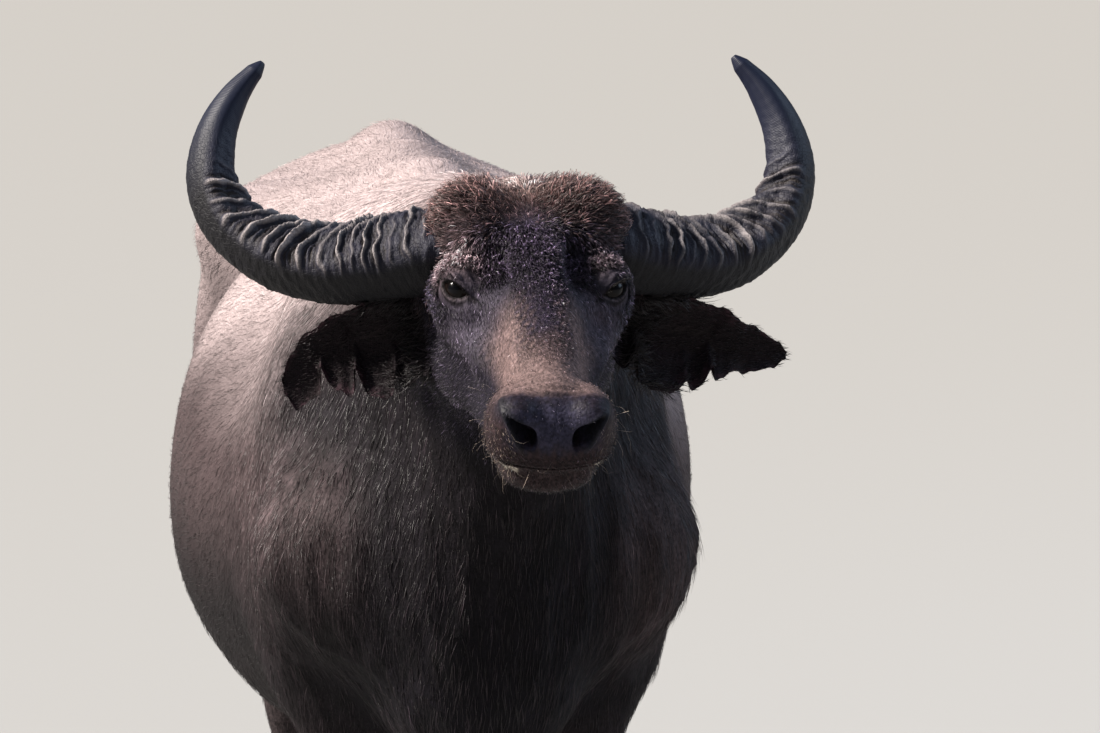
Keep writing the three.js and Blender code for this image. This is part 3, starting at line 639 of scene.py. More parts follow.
# Lids: points near an eye move along their ray from its middle. Inside the almond they drop under the ball,
# at its edge they stand a lid's thickness over it, and further out they pass into the head with a fold over
# the upper lid, a flatter one under the lower, and creases above.
def withLids(local):
    for side in (1, -1):
        centre, axes = eyeFrame(side)
        q = (local - centre) @ axes.T
        reach = np.linalg.norm(q, axis=1)
        ray = q / reach[:, None]
        u, v = ray[:, 0] * eyes["lidRadius"], ray[:, 1] * eyes["lidRadius"]
        out = outOfAlmond(u, v)
        upper = ramp(v, -3, 5)
        edge = eyes["ballRadius"] + 0.7
        lid = edge + eyes["lid"] * (1 - np.exp(-np.maximum(out, 0) / 1.6))
        fold = 3.2 * ramp(u, -15, 3) * bell(out - 8.5, 3.2)
        lid += upper * (fold - 1.8 * bell(out - 4.0, 1.0) - 2.6 * bell(out - 13.0, 1.4))
        bag = 0.2 * bell(out - 3, 1.5)
        lid += (1 - upper) * (bag - 1.4 * bell(out - 6.4, 1.2) - 1.2 * bell(out - 11, 1.4))
        flesh = np.maximum(reach, lid - 0.8)
        aimed = mix(lid, flesh, ramp(out, 1, 11))
        aimed -= 3.0 * upper * ramp(u, 4, -9) * bell(out - 9, 5)
        creases = sum(bell(out - at - 1.6 * np.sin(u / 6 + at), 1.3) for at in (16, 20.5, 25.5))
        aimed -= 1.7 * creases * upper * ramp(reach, 60, 40)
        aimed = np.where(out < 0, np.maximum(edge + 2.6 * out, eyes["socketFloor"]), aimed)
        near = ramp(q[:, 2], 0, 6) * ramp(reach, 47, 35)
        local = (mix(reach, aimed, near)[:, None] * ray) @ axes + centre
    return local


# Muzzle: the nostrils sink inwards with a raised wing outside, the line of the mouth sinks between full lips,
# and folds cross the ridge of the nose behind the pad
def withMuzzle(local):
    x, y, z = local.T
    side = np.sign(x)
    front = ramp(y, -215, -235)
    out = outOfNostril(local)
    sink = nostrils["deep"] * ramp(out, 1.12, 0.55) * front
    wing = 2.4 * bell(out - 1.28, 0.2) * front * ramp(np.abs(x), 30, 44)
    local = local + sink[:, None] * unit(np.stack((-0.3 * side, np.ones_like(x), -0.2 + 0 * x), -1))
    share, height = overMouth(local)
    around = unit(np.stack((x, y - mouth["pivot"], 0 * x), -1))
    lips = ramp(y, -120, -165) * ramp(np.abs(share), 1.02, 0.93)
    line = -mouth["inset"] * (1 - 0.8 * share**6) * bell(height, mouth["half"])
    full = 1.6 * bell(height - 6.5, 4.5) + 1.0 * bell(height + 6, 4)
    local = local + around * ((line + full) * lips + wing)[:, None]
    lift = np.degrees(np.arctan2(z + 26, -(y + 236)))
    folds = sum(bell(lift - at - 0.16 * np.abs(x), 3.4) for at in (84, 96, 110))
    local[:, 2] -= 1.5 * folds * ramp(np.abs(x), 46, 26) * ramp(z, -10, 5)
    groove = bell(x, 2.4) * ramp(lift, 55, 30) * ramp(height, 0, 8) * front
    local[:, 1] += 1.1 * groove
    return local


# Folds and unevenness of the body, along the skin's outward direction: broad swells all over, long folds down
# the neck and shoulder, as the third power of how near a wandering value is to 0, and faint ribs as a cosine
def bodySwell(points):
    _, y, z = points.T
    offHead = ramp(toHead(points)[:, 1], 60, 190)
    offFeet = ramp(z, 430, 640)
    swell = skinShape["swell"] * wander(points, 210, 3) * offHead * offFeet
    neck = ramp(y, 60, -90) * ramp(y, -560, -430) * ramp(z, 640, 820) * ramp(z, 1400, 1300)
    fold = 1 - np.abs(wander(points, 84, 11, (1, 1, 5)))
    ribs = np.cos(2 * np.pi * (y + 0.25 * z) / skinShape["ribSpacing"]) * ramp(y, 160, 260) * ramp(y, 720, 600)
    ribs = ribs * ramp(z, 760, 860) * ramp(z, 1240, 1120)
    return swell + neck * (skinShape["neckFolds"] * fold**3 - 3.0) + skinShape["ribs"] * ribs


# Outward directions at a mesh's points, as its faces give them
def outward(mesh):
    return unit(arrayOf(mesh.vertex_normals, "vector", 3, np.float32).astype(float))


# The bare skin pushed out by the swells, with muzzle, lids and ears
def shapedSkin():
    mesh = bareSkin()
    points = meshPoints(mesh) + outward(mesh) * bodySwell(meshPoints(mesh))[:, None]
    local = toHead(points)
    head = np.nonzero(local[:, 1] < 60)[0]
    local[head] = withMuzzle(withLids(local[head]))
    points[head] = fromHead(local[head])
    setPoints(mesh, toMetres(points))
    return withEars(mesh)


# One skin in place of all the flesh of the solids
def skinPiece(material):
    flesh = ["torso", "neck", "head", "ear_left", "ear_right", "tail", *legs]
    return newPiece("skin", shapedSkin(), "hide", material, *flesh)


# Faces of a closed tube: rings of sides points one after the other, then the two poles
def tubeFaces(rings, sides):
    i = np.arange(rings - 1)[:, None] * sides
    j = np.arange(sides)[None]
    k = (j + 1) % sides
    squares = np.stack((i + j, i + k, i + sides + k, i + sides + j), -1).reshape(-1, 4)
    first, last = rings * sides, rings * sides + 1
    j, k = np.arange(sides), (np.arange(sides) + 1) % sides
    top = (rings - 1) * sides
    ends = [(k, j, first + 0 * j), (top + j, top + k, last + 0 * j)]
    return squares, np.concatenate([np.stack(end, -1) for end in ends])


# A closed tube from rings (rings, sides, 3), each end closed on the mean of its ring, with its faces outwards
def tubeMesh(name, rings):
    points = np.vstack((rings.reshape(-1, 3), rings[0].mean(0), rings[-1].mean(0)))
    mesh = newMesh(name, toMetres(points), *tubeFaces(rings.shape[0], rings.shape[1]))
    middle = rings.mean(1)
    radial = rings - middle[:, None]
    around = np.cross(radial, np.roll(radial, -1, axis=1)).sum(1)
    if np.sum(around * np.gradient(middle, axis=0)) < 0:
        mesh.flip_normals()
    return mesh


horns = {
    "baseWidth": 118,
    "spread": {"left": 1, "right": 1.04},
    "path": (
        (54, 88, 33),
        (113, 108, 32),
        (170, 138, 17),
        (230, 174, 10),
        (288, 214, 22),
        (333, 250, 55),
        (352, 280, 100),
        (346, 302, 150),
        (322, 321, 199),
        (287, 335, 240),
    ),
    "widths": (
        (0, 0.6),
        (0.09, 0.98),
        (0.3, 0.88),
        (0.45, 0.8),
        (0.6, 0.65),
        (0.75, 0.53),
        (0.88, 0.37),
        (0.985, 0.17),
    ),
    "ridgeCount": ((0.06, 0), (0.25, 8), (0.42, 11.6), (0.8, 18.4)),
    "ridgeRise": 0.25,
    "ridgeSlant": 0.042,
    "keel": 0.17,
    "pits": 1.1,
    # Paleness of each horn's crests: partly wear and partly a painted highlight, paler on the right horn, which
    # the key light faces
    "wornAndLitCrests": {"left": 0.62, "right": 1.1},
    "rings": 400,
    "sides": 80,
}


# A horn: a keeled section carried along its path, whose radius is half the width at that share of the length
# times 1 plus keel, corners, ridges, growth lines and dents, plus pits. Ridges cross the upper front face, each
# a saw tooth with a steep side towards the tip and a wavering line, and fade to the smooth tip.
def hornPiece(name, side, material):
    spread = horns["spread"][name]
    s = np.append(0, np.linspace(0.02, 1, horns["rings"] - 1))
    path = np.array(horns["path"], float) * (side * spread, 1, 1) + body["eyesPlace"]
    at, along = pathAt(path, s)
    s = s[:, None]
    forward = unit(np.array((0.15 * side, -1, 0.1)))
    front = unit(forward - along * (along @ forward)[:, None])
    upper = np.cross(front, along) * side
    a = np.linspace(0, 2 * np.pi, horns["sides"], endpoint=False)[None]
    waver = 0.007 * np.sin(2 * a + 9 * s) + 0.004 * np.sin(4 * a + 31 * s + side)
    waver = waver + 0.002 * np.sin(11 * a + 70 * s)
    slant = horns["ridgeSlant"] * ramp(s, 0.05, 0.3) * np.cos(a - 0.2)
    stops, counts = np.array(horns["ridgeCount"]).T
    place = np.interp(s + waver - slant, stops, counts)
    number, share = np.floor(place), place % 1
    uneven = 0.78 + 0.3 * np.sin(number * 2.4 + 3 * side) + 0.2 * np.sin(number * 5.1 + 2 * a)
    uneven = uneven + 0.12 * np.sin(number * 9.7 + 5 * a)
    tooth = 1.1 * bell(share - 0.6, 0.17) + 0.22 * bell(share - 0.2, 0.06) - 0.3 * bell(share - 0.86, 0.07)
    wrinkles = np.sin(2 * np.pi * place * 4 + 3 * np.sin(2 * a + 20 * s))
    tooth = tooth + 0.09 * wrinkles * (1 - bell(share - 0.6, 0.2))
    fade = graded(((0.05, 0.3), (0.22, 0.7), (0.4, 1), (0.6, 1), (0.8, 0)), s)
    ridged = graded(((-0.3, 0.1), (0.22, 1)), np.sin(a + 0.02)) * (0.78 + 0.22 * np.cos(a - 1.0))
    rise = horns["ridgeRise"] * fade * uneven * (tooth - 0.35) * ridged
    keel = horns["keel"] * np.maximum(0, np.cos(a - 0.02)) ** 12
    keel = keel * graded(((0.1, 0.4), (0.35, 1), (0.62, 0.9), (0.85, 0.2)), s)
    keel = keel - 0.05 * bell(a - 0.62, 0.3)
    corner = 0.05 * np.cos(3 * (a - 0.05))
    lines = 0.004 * np.sin(s * 900 + 2 * np.sin(3 * a)) * ramp(s, 0.98, 0.8)
    lines = lines + 0.006 * np.sin(s * 260 + 3 * np.sin(2 * a + side)) * ramp(s, 0.95, 0.7)
    dents = 0.012 * np.sin(7 * a + 12 * s) * np.sin(23 * s + a)
    stops, widths = np.array(horns["widths"]).T
    half = sum(np.interp(s + step, stops, widths) for step in (-0.03, -0.015, 0, 0.015, 0.03)) / 5
    half = half * np.sqrt(np.clip((1.004 - s) / 0.03, 0, 1)) * horns["baseWidth"] / 2
    ray = front[:, None] * np.cos(a)[..., None] * 0.86 + upper[:, None] * np.sin(a)[..., None]
    plain = (at[:, None] + ray * half[..., None]).reshape(-1, 3)
    pitted = (wander(plain, 15, 51) + 0.7 * wander(plain, 7, 52)).reshape(rise.shape)
    pits = horns["pits"] * pitted * graded(((0.05, 0.5), (0.2, 1), (0.6, 1), (0.8, 0.1)), s)
    pits = pits * (0.35 + 0.65 * ridged)
    r = (half * (0.93 + keel + corner + rise + lines + dents) + pits)[..., None]
    rings = at[:, None] + ray * r
    mesh = tubeMesh("horn" + name.title(), rings)
    # Above 0 on crests and below 0 in grooves; the crests' paleness is scaled per horn as painted light
    wear = np.clip(rise / horns["ridgeRise"] * np.where(rise > 0, horns["wornAndLitCrests"][name], 1), -1, 2)
    store(mesh, "wear", np.append(wear.ravel(), (0, 0)))
    # Share of the horn's underside, which carries painted shade
    under = ramp(np.sin(a + 0.05 + 0 * s), 0.05, -0.25)
    store(mesh, "under", np.append(under.ravel(), (0, 0)))
    store(mesh, "alongHorn", np.append(np.broadcast_to(s, wear.shape).ravel(), (0, 1)))
    return newPiece("horn" + name.title(), mesh, "horn", material, "horn_" + name)


# Eyeball: a sphere with its pole on the eye's way, whose clear front bulges by the cosine's twelfth power. Each
# point keeps its distance from the pole's line, with 0.72 of its part along the opening, for a level pupil.
def eyePiece(name, side, material):
    centre, axes = eyeFrame(side)
    tilt = np.linspace(0, np.pi, 50)[1:-1, None]
    turn = np.linspace(0, 2 * np.pi, 64, endpoint=False)[None]
    radius = eyes["ballRadius"] + eyes["corneaRise"] * np.cos(tilt) ** 12 * (tilt < np.pi / 2)
    u = radius * np.sin(tilt) * np.cos(turn)
    v = radius * np.sin(tilt) * np.sin(turn)
    w = radius * np.cos(tilt) + 0 * turn
    rings = fromHead(np.stack((u, v, w), -1).reshape(-1, 3) @ axes + centre).reshape(48, 64, 3)
    mesh = tubeMesh("eye" + name.title(), rings)
    store(mesh, "offAxis", np.append(np.hypot(u * 0.72, v).ravel(), (0, 0)))
    return newPiece("eye" + name.title(), mesh, "eye", material, "eye_" + name)


ears = {
    "root": (104, 112, -52),
    "axis": (0.9, 0.38, -0.2),
    "facing": (0.3, -0.93, -0.1),
    "length": {"left": 262, "right": 214},
    "hang": 14,
    "cup": ((0, 0), (0.16, 26), (0.5, 24), (0.85, 9), (1, 4)),
    "thick": ((0, 30), (0.1, 20), (0.22, 7.5), (0.7, 5), (1, 2.6)),
    "left": {
        "upper": ((0, 24), (0.12, 34), (0.3, 44), (0.55, 40), (0.75, 26), (0.92, 16), (1, 5)),
        "lower": ((0, 26), (0.12, 58), (0.3, 78), (0.5, 70), (0.6, 52), (0.76, 34), (0.92, 22), (1, 5)),
        "tears": ((0.17, 0.035, 26), (0.47, 0.03, 10), (0.585, 0.03, 22)),
    },
    "right": {
        "upper": ((0, 24), (0.12, 38), (0.32, 42), (0.6, 34), (0.8, 20), (0.9, 3), (1, -24)),
        "lower": ((0, 26), (0.14, 62), (0.34, 80), (0.55, 72), (0.72, 52), (0.84, 60), (0.94, 70), (1, 44)),
        "tears": ((0.31, 0.032, 26), (0.54, 0.04, 36), (0.75, 0.035, 30)),
    },
    "rings": 90,
    "around": 56,
}


# An ear's root and its directions: out along it, up across it, and out of its inner face
def earFrame(side):
    axis = unit(np.array(ears["axis"]) * (side, 1, 1))
    facing = np.array(ears["facing"]) * (side, 1, 1)
    facing = unit(facing - axis * np.dot(facing, axis))
    root = np.array(ears["root"]) * (side, 1, 1) + body["eyesPlace"]
    return root, axis, np.cross(facing, axis) * side, facing


# Edges of an ear at shares s of its length, over and under its axis. Tears are narrow notches with soft sides,
# and a small wandering line keeps the edge ragged.
def earEdges(name, s):
    shape = ears[name]
    ragged = 1.6 * np.sin(31 * s + 2) + 1.1 * np.sin(67 * s) + 0.8 * np.sin(113 * s + 1)
    torn = sum(deep * bell(s - place, half * 0.72) for place, half, deep in shape["tears"])
    above = graded(shape["upper"], s) + 0.5 * ragged * ramp(s, 0.1, 0.3) * ramp(s, 1, 0.93)
    return above, graded(shape["lower"], s) - torn + ragged * ramp(s, 0.1, 0.3) * ramp(s, 1, 0.93)


# A point on an ear: s along it, v from -1 at the lower edge to 1 at the upper one, and lift in front of its
# middle sheet. The sheet is cupped by the square of v and hangs by the square of s.
def earPoint(side, name, s, v, lift):
    root, axis, across, facing = earFrame(side)
    above, below = earEdges(name, s)
    run = mix(-below, above, (v + 1) / 2) - ears["hang"] * s**2
    waves = 1.5 * np.sin(9 * s + 3 * v) * ramp(s, 0.1, 0.4)
    waves = waves + 2.2 * v**4 * np.sin(22 * s + side) * ramp(s, 0.2, 0.5)
    deep = graded(ears["cup"], s) * (v * v - 0.5) + waves + lift
    out = root + axis * (s * ears["length"][name])[..., None]
    return out + across * run[..., None] + facing * deep[..., None]


# Ear: a cupped sheet closed round its rim. Its thickness falls off at the edges as a rounded profile, and low
# ribs run along its inner face.
def earRings(side, name):
    s = np.append(0, np.linspace(0.015, 1, ears["rings"] - 1))[:, None]
    turn = np.linspace(0, 2 * np.pi, ears["around"], endpoint=False)[None]
    v = -np.cos(turn) + 0 * s
    thick = graded(ears["thick"], s) * np.sqrt(np.maximum(1 - np.abs(v) ** 5, 0))
    ribs = 1.1 * np.cos(v * 15) * ramp(s, 0.05, 0.2) * ramp(s, 0.9, 0.6) * (1 - v * v)
    return earPoint(side, name, s + 0 * v, v, np.where(np.sin(turn) > 0, ribs, -thick))


# Joins each ear to the skin as one closed surface
def withEars(mesh):
    whole = bpy.data.objects.new("whole", mesh)
    bpy.context.scene.collection.objects.link(whole)
    for name, side in (("left", 1), ("right", -1)):
        part = bpy.data.objects.new("ear", tubeMesh("ear", earRings(side, name)))
        bpy.context.scene.collection.objects.link(part)
        union = whole.modifiers.new("ear", "BOOLEAN")
        union.operation = "UNION"
        union.solver = "MANIFOLD"
        union.object = part
        bpy.context.view_layer.update()
        grown = bpy.data.meshes.new_from_object(whole.evaluated_get(bpy.context.evaluated_depsgraph_get()))
        whole.modifiers.clear()
        whole.data = grown
        bpy.data.objects.remove(part)
    bpy.data.objects.remove(whole)
    return grown


claws = {
    "length": 116,
    "width": 56,
    "height": 80,
    "heelShare": 0.6,
    "cleft": 7,
    "toeSlope": 30,
    "rings": 26,
    "sides": 48,
}


# Hoof claw: rings from the flat sole up to the coronet. It is straight towards the cleft and round outside,
# its wall slopes back from the toe, and growth rings and a worn lower edge follow it round.
def clawPiece(name, foot, way, material):
    rise = np.linspace(0, 1, claws["rings"])[:, None]
    a = np.linspace(0, 2 * np.pi, claws["sides"], endpoint=False)[None]
    size = graded(((0, 1), (0.45, 0.93), (1, 0.8)), rise)
    outer = np.cos(a) > 0
    squared = np.sign(np.cos(a)) * np.abs(np.cos(a)) ** 0.75
    growth = 0.010 * np.sin(rise * 40 + 1.5 * np.sin(a + way)) + 0.006 * np.sin(rise * 95 + a)
    worn = -0.05 * bell(rise, 0.06) - 0.02 * np.maximum(0, np.sin(5 * a + way)) * bell(rise, 0.1)
    size = size * (1 + growth * ramp(rise, 0.02, 0.1) + worn)
    across = claws["width"] / 2 * np.where(outer, size, 1 + worn * 0.5) * squared
    along = claws["length"] / 2 * size * np.sin(a)
    toHeel = (along + claws["length"] / 2) / claws["length"]
    toeIn = 4 * np.maximum(0, -np.sin(a)) ** 2
    x = foot[0] + way * (claws["cleft"] / 2 + claws["width"] / 2 + across - toeIn)
    y = foot[1] + claws["toeSlope"] * rise * (1 - 0.75 * toHeel) + along
    z = rise * mix(claws["height"], claws["height"] * claws["heelShare"], toHeel)
    mesh = tubeMesh(name, np.stack(np.broadcast_arrays(x, y, z), -1))
    return newPiece(name, mesh, "hoof", material, name)


dewclaws = {
    "half": 20,
    "radii": (9, 17),
    "tilt": 112,
    "apart": 19,
    "behind": 38,
    "below": 26,
    "rings": 16,
    "sides": 28,
}


# Dewclaw: a blunt ringed cone along a tilted axis, whose thick end lies in the fetlock and whose other end
# stands out of it behind and below
def dewclawPiece(name, fetlock, way, material):
    rise = np.linspace(-1, 1, dewclaws["rings"])[:, None]
    a = np.linspace(0, 2 * np.pi, dewclaws["sides"], endpoint=False)[None]
    blunt = np.sqrt(np.clip(1 - np.abs(rise) ** 9, 0.05, 1))
    r = mix(*dewclaws["radii"], (rise + 1) / 2) * blunt * (1 + 0.02 * np.sin(rise * 22))
    tilt = np.radians(dewclaws["tilt"])
    x, y, z = r * np.cos(a), dewclaws["half"] * rise, r * np.sin(a) * 0.94
    y, z = y * np.cos(tilt) - z * np.sin(tilt), y * np.sin(tilt) + z * np.cos(tilt)
    place = np.array(fetlock) + (way * dewclaws["apart"], dewclaws["behind"], -dewclaws["below"])
    mesh = tubeMesh(name, np.stack(np.broadcast_arrays(x, y, z), -1) + place)
    return newPiece(name, mesh, "hoof", material, name)


# sRGB hex to linear light: over 12.92 in the darkest part, and a power of 2.4 above it
def linear(hexCode):
    v = np.array([int(hexCode[i : i + 2], 16) for i in (0, 2, 4)]) / 255
    return np.where(v <= 0.04045, v / 12.92, ((v + 0.055) / 1.055) ** 2.4)


# The same as a node's colour, with full alpha
def opaque(hexCode):
    return (*linear(hexCode), 1)


# Adds a node with its settings. An input is a value, or the (node, output) that is linked to it.
def addNode(tree, kind, inputs=None, **settings):
    made = tree.nodes.new("ShaderNode" + kind)
    for name, value in settings.items():
        setattr(made, name, value)
    for key, value in (inputs or {}).items():
        if isinstance(value, tuple) and isinstance(value[0], bpy.types.Node):
            tree.links.new(value[0].outputs[value[1]], made.inputs[key])
        else:
            made.inputs[key].default_value = value
    return made


# A material whose constants stand on the shader's own sockets
def newLook(name, specular=0.5, **sockets):
    look = bpy.data.materials.new(name)
    look.use_nodes = True
    shader = look.node_tree.nodes["Principled BSDF"]
    for key, value in {"Specular IOR Level": specular, **sockets}.items():
        shader.inputs[key].default_value = value
    return look, look.node_tree, shader


# Object coordinates in units of a size in millimetres for each axis, so a pattern's cells are that size
def inSizes(tree, sizes):
    place = addNode(tree, "TexCoord")
    scale = tuple(1000 / size for size in sizes)
    return addNode(tree, "Mapping", {"Vector": (place, "Object"), "Scale": scale})


# Sum of heights, each times its own amount
def joinedHeights(tree, parts):
    total = None
    for source, output, amount in parts:
        term = addNode(tree, "Math", {0: (source, output), 1: amount}, operation="MULTIPLY")
        if total is not None:
            term = addNode(tree, "Math", {0: (total, 0), 1: (term, 0)}, operation="ADD")
        total = term
    return total


# A height in millimetres, as the distance of 0.001 m says, becomes the shader's bump
def bumped(tree, shader, parts, strength=1.0):
    height = joinedHeights(tree, parts)
    bump = addNode(tree, "Bump", {"Height": (height, 0), "Distance": 0.001, "Strength": strength})
    tree.links.new(bump.outputs["Normal"], shader.inputs["Normal"])


hideGrain = {
    "cells": (3.6, 3.6, 3.6),
    "creases": (11, 13, 19),
    "backStreaks": (1.4, 22, 1.6),
    "downStreaks": (1.4, 1.6, 26),
    "specks": (4.5, 4.5, 4.5),
}


# Sparse-haired buffalo hide, grown and left dry and dusty, which gives a matt and uneven surface. Cells of
# 3.6 mm and creases 11 to 19 mm apart are its leathery grain, with painted shade darkening the creases, streaks
# of 1.4 by 22 or 26 mm the short hair that lies flat, painted paler as the sheen of that hair, and specks of
# 4.5 mm the tone of hanging hair. Skin has an IOR near 1.4. The nose pad is moist.
def hideLook():
    look, tree, shader = newLook("buffaloHide", 0.15, IOR=1.4)
    color = addNode(tree, "Attribute", attribute_name="hideColor")
    wet = addNode(tree, "Attribute", attribute_name="moist")
    hang = addNode(tree, "Attribute", attribute_name="hang")
    cells = addNode(tree, "TexVoronoi", {"Vector": (inSizes(tree, hideGrain["cells"]), 0), "Scale": 1.0})
    warp = addNode(tree, "TexNoise", {"Vector": (inSizes(tree, (14, 14, 14)), 0), "Scale": 1.0, "Detail": 3.0})
    straight = inSizes(tree, hideGrain["creases"])
    bent = addNode(tree, "MixRGB", {0: 0.35, 1: (straight, 0), 2: (warp, "Color")}, blend_type="ADD")
    creases = addNode(tree, "TexVoronoi", {"Vector": (bent, 0), "Scale": 1.0}, feature="DISTANCE_TO_EDGE")
    crease = addNode(tree, "MapRange", {"Value": (creases, "Distance"), "From Max": 0.12})
    toBack, toGround = inSizes(tree, hideGrain["backStreaks"]), inSizes(tree, hideGrain["downStreaks"])
    back = addNode(tree, "TexNoise", {"Vector": (toBack, 0), "Scale": 1.0, "Detail": 2.0})
    down = addNode(tree, "TexNoise", {"Vector": (toGround, 0), "Scale": 1.0, "Detail": 2.0})
    streak = addNode(tree, "Mix", {0: (hang, "Fac"), 2: (back, "Fac"), 3: (down, "Fac")}, data_type="FLOAT")
    fur = addNode(tree, "MapRange", {"Value": (streak, 0), "From Min": 0.42, "From Max": 0.72})
    dry = addNode(tree, "MapRange", {"Value": (wet, "Fac"), "To Min": 1.0, "To Max": 0.0})
    lit = addNode(tree, "Math", {0: (fur, 0), 1: (dry, 0)}, operation="MULTIPLY")
    # Pale streaks: the flat hair, painted paler as its sheen
    pale = addNode(tree, "HueSaturation", {"Color": (color, "Color"), "Value": 1.9, "Saturation": 0.85})
    # Painted shade: darker in the creases
    deep = addNode(tree, "HueSaturation", {"Color": (color, "Color"), "Value": 0.86})
    creaseShade = addNode(tree, "MixRGB", {0: (crease, 0), 1: (deep, 0), 2: (color, "Color")})
    weight = addNode(tree, "Math", {0: (lit, 0), 1: 0.5}, operation="MULTIPLY")
    final = addNode(tree, "MixRGB", {0: (weight, 0), 1: (creaseShade, 0), 2: (pale, 0)})
    spots = inSizes(tree, hideGrain["specks"])
    speck = addNode(tree, "TexNoise", {"Vector": (spots, 0), "Scale": 1.0, "Detail": 3.0})
    span = {"From Min": 0.35, "From Max": 0.65, "To Min": -0.36, "To Max": 0.42}
    grain = addNode(tree, "MapRange", {"Value": (speck, "Fac"), **span})
    gain = addNode(tree, "Math", {0: (grain, 0), 1: (hang, "Fac"), 2: 1.0}, operation="MULTIPLY_ADD")
    grainy = addNode(tree, "HueSaturation", {"Color": (final, 0), "Value": (gain, 0)})
    rough = addNode(tree, "MapRange", {"Value": (wet, "Fac"), "To Min": 0.7, "To Max": 0.48})
    tree.links.new(grainy.outputs[0], shader.inputs["Base Color"])
    tree.links.new(rough.outputs[0], shader.inputs["Roughness"])
    bumped(tree, shader, [(cells, "Distance", -0.4), (crease, 0, 0.14), (lit, 0, 0.34)], 0.9)
    return look


# Hair, as it grows: each tuft has its own tone, and keratin's IOR of 1.55 gives its fibres a soft sheen
def hairLook():
    look, tree, shader = newLook("coatHair", 0.3, IOR=1.55, Roughness=0.42)
    color = addNode(tree, "Attribute", attribute_name="coatColor")
    tree.links.new(color.outputs["Color"], shader.inputs["Base Color"])
    return look


hornFinish = {
    "dark": "0f101a",
    "light": "282734",
    # crest: wear and painted highlight; groove: earthy brown and painted shade; below: painted shade on the
    # underside
    "crest": "a59c9a",
    "groove": "211913",
    "below": "07060a",
    "tip": "0d1429",
    "growthLines": 1700.0,
}


# Horn: grown keratin, slate to near black, smoother towards the bluish tip. Its crests are paler, partly worn
# and partly a painted highlight that is stronger on the right horn, which the key light faces; its grooves are
# darker, partly earthy brown and partly painted shade; and its underside is darker as painted shade. Flecks of
# 2.2 by 5 mm, chips of 5 by 9 mm, cracks of 4 by 16 mm and growth lines 2.1 mm apart mark it. Keratin has an
# IOR of 1.55.
def hornKeratin():
    look, tree, shader = newLook("hornKeratin", 0.2, IOR=1.55)
    under = addNode(tree, "Attribute", attribute_name="under")
    wear = addNode(tree, "Attribute", attribute_name="wear")
    along = addNode(tree, "Attribute", attribute_name="alongHorn")
    wide = inSizes(tree, (26, 26, 26))
    blotch = addNode(tree, "TexNoise", {"Vector": (wide, 0), "Scale": 1.0, "Detail": 5.0})
    fine = addNode(tree, "TexNoise", {"Vector": (inSizes(tree, (2.2, 5, 2.2)), 0), "Scale": 1.0, "Detail": 4.0})
    flakes = inSizes(tree, (5, 9, 5))
    chips = addNode(tree, "TexVoronoi", {"Vector": (flakes, 0), "Scale": 1.0}, feature="DISTANCE_TO_EDGE")
    chip = addNode(tree, "MapRange", {"Value": (chips, "Distance"), "From Max": 0.1})
    crack = addNode(tree, "TexNoise", {"Vector": (inSizes(tree, (4, 16, 9)), 0), "Scale": 1.0, "Detail": 4.0})
    lineTurn = addNode(tree, "Math", {0: (along, "Fac"), 1: hornFinish["growthLines"]}, operation="MULTIPLY")
    lines = addNode(tree, "Math", {0: (lineTurn, 0)}, operation="SINE")
    dark, light = opaque(hornFinish["dark"]), opaque(hornFinish["light"])
    tone = addNode(tree, "MixRGB", {0: (blotch, "Fac"), 1: dark, 2: light})
    span = {"From Min": 0.08, "From Max": 0.6, "To Max": 1.25}
    # Crests paler, partly wear and partly a painted highlight
    paleCrestShare = addNode(tree, "MapRange", {"Value": (wear, "Fac"), **span})
    crestPaleness = addNode(tree, "Math", {0: (paleCrestShare, 0), 1: (fine, "Fac")}, operation="MULTIPLY")
    worn = addNode(tree, "MixRGB", {0: (crestPaleness, 0), 1: (tone, 0), 2: opaque(hornFinish["crest"])})
    # Grooves darker: partly earthy brown and partly painted shade
    span = {"From Min": -0.05, "From Max": -0.35, "To Max": 0.8}
    sunk = addNode(tree, "MapRange", {"Value": (wear, "Fac"), **span})
    grooveDirtAndShade = addNode(tree, "MixRGB", {0: (sunk, 0), 1: (worn, 0), 2: opaque(hornFinish["groove"])})
    span = {"From Min": 0.66, "From Max": 0.86, "To Max": 0.8}
    toTip = addNode(tree, "MapRange", {"Value": (along, "Fac"), **span})
    # Painted shade on the underside of the horn
    shade = addNode(tree, "Math", {0: (under, "Fac"), 1: 0.92}, operation="MULTIPLY")
    shaded = addNode(tree, "MixRGB", {0: (shade, 0), 1: (grooveDirtAndShade, 0), 2: opaque(hornFinish["below"])})
    final = addNode(tree, "MixRGB", {0: (toTip, 0), 1: (shaded, 0), 2: opaque(hornFinish["tip"])})
    rough = addNode(tree, "MapRange", {"Value": (toTip, 0), "To Min": 0.6, "To Max": 0.5})
    tree.links.new(final.outputs[0], shader.inputs["Base Color"])
    tree.links.new(rough.outputs[0], shader.inputs["Roughness"])
    heights = [(fine, "Fac", 0.7), (chip, 0, 0.4), (blotch, "Fac", 1.4), (crack, "Fac", 1.1)]
    rugged = joinedHeights(tree, heights)
    calm = addNode(tree, "MapRange", {"Value": (toTip, 0), "From Max": 0.8, "To Min": 1.0, "To Max": 0.06})
    kept = addNode(tree, "Math", {0: (rugged, 0), 1: (calm, 0)}, operation="MULTIPLY")
    bumped(tree, shader, [(kept, 0, 1.0), (lines, 0, 0.05)], 0.9)
    return look


hoofTones = {"dark": "1a1718", "dusty": "554a43", "fibres": "3a3230"}


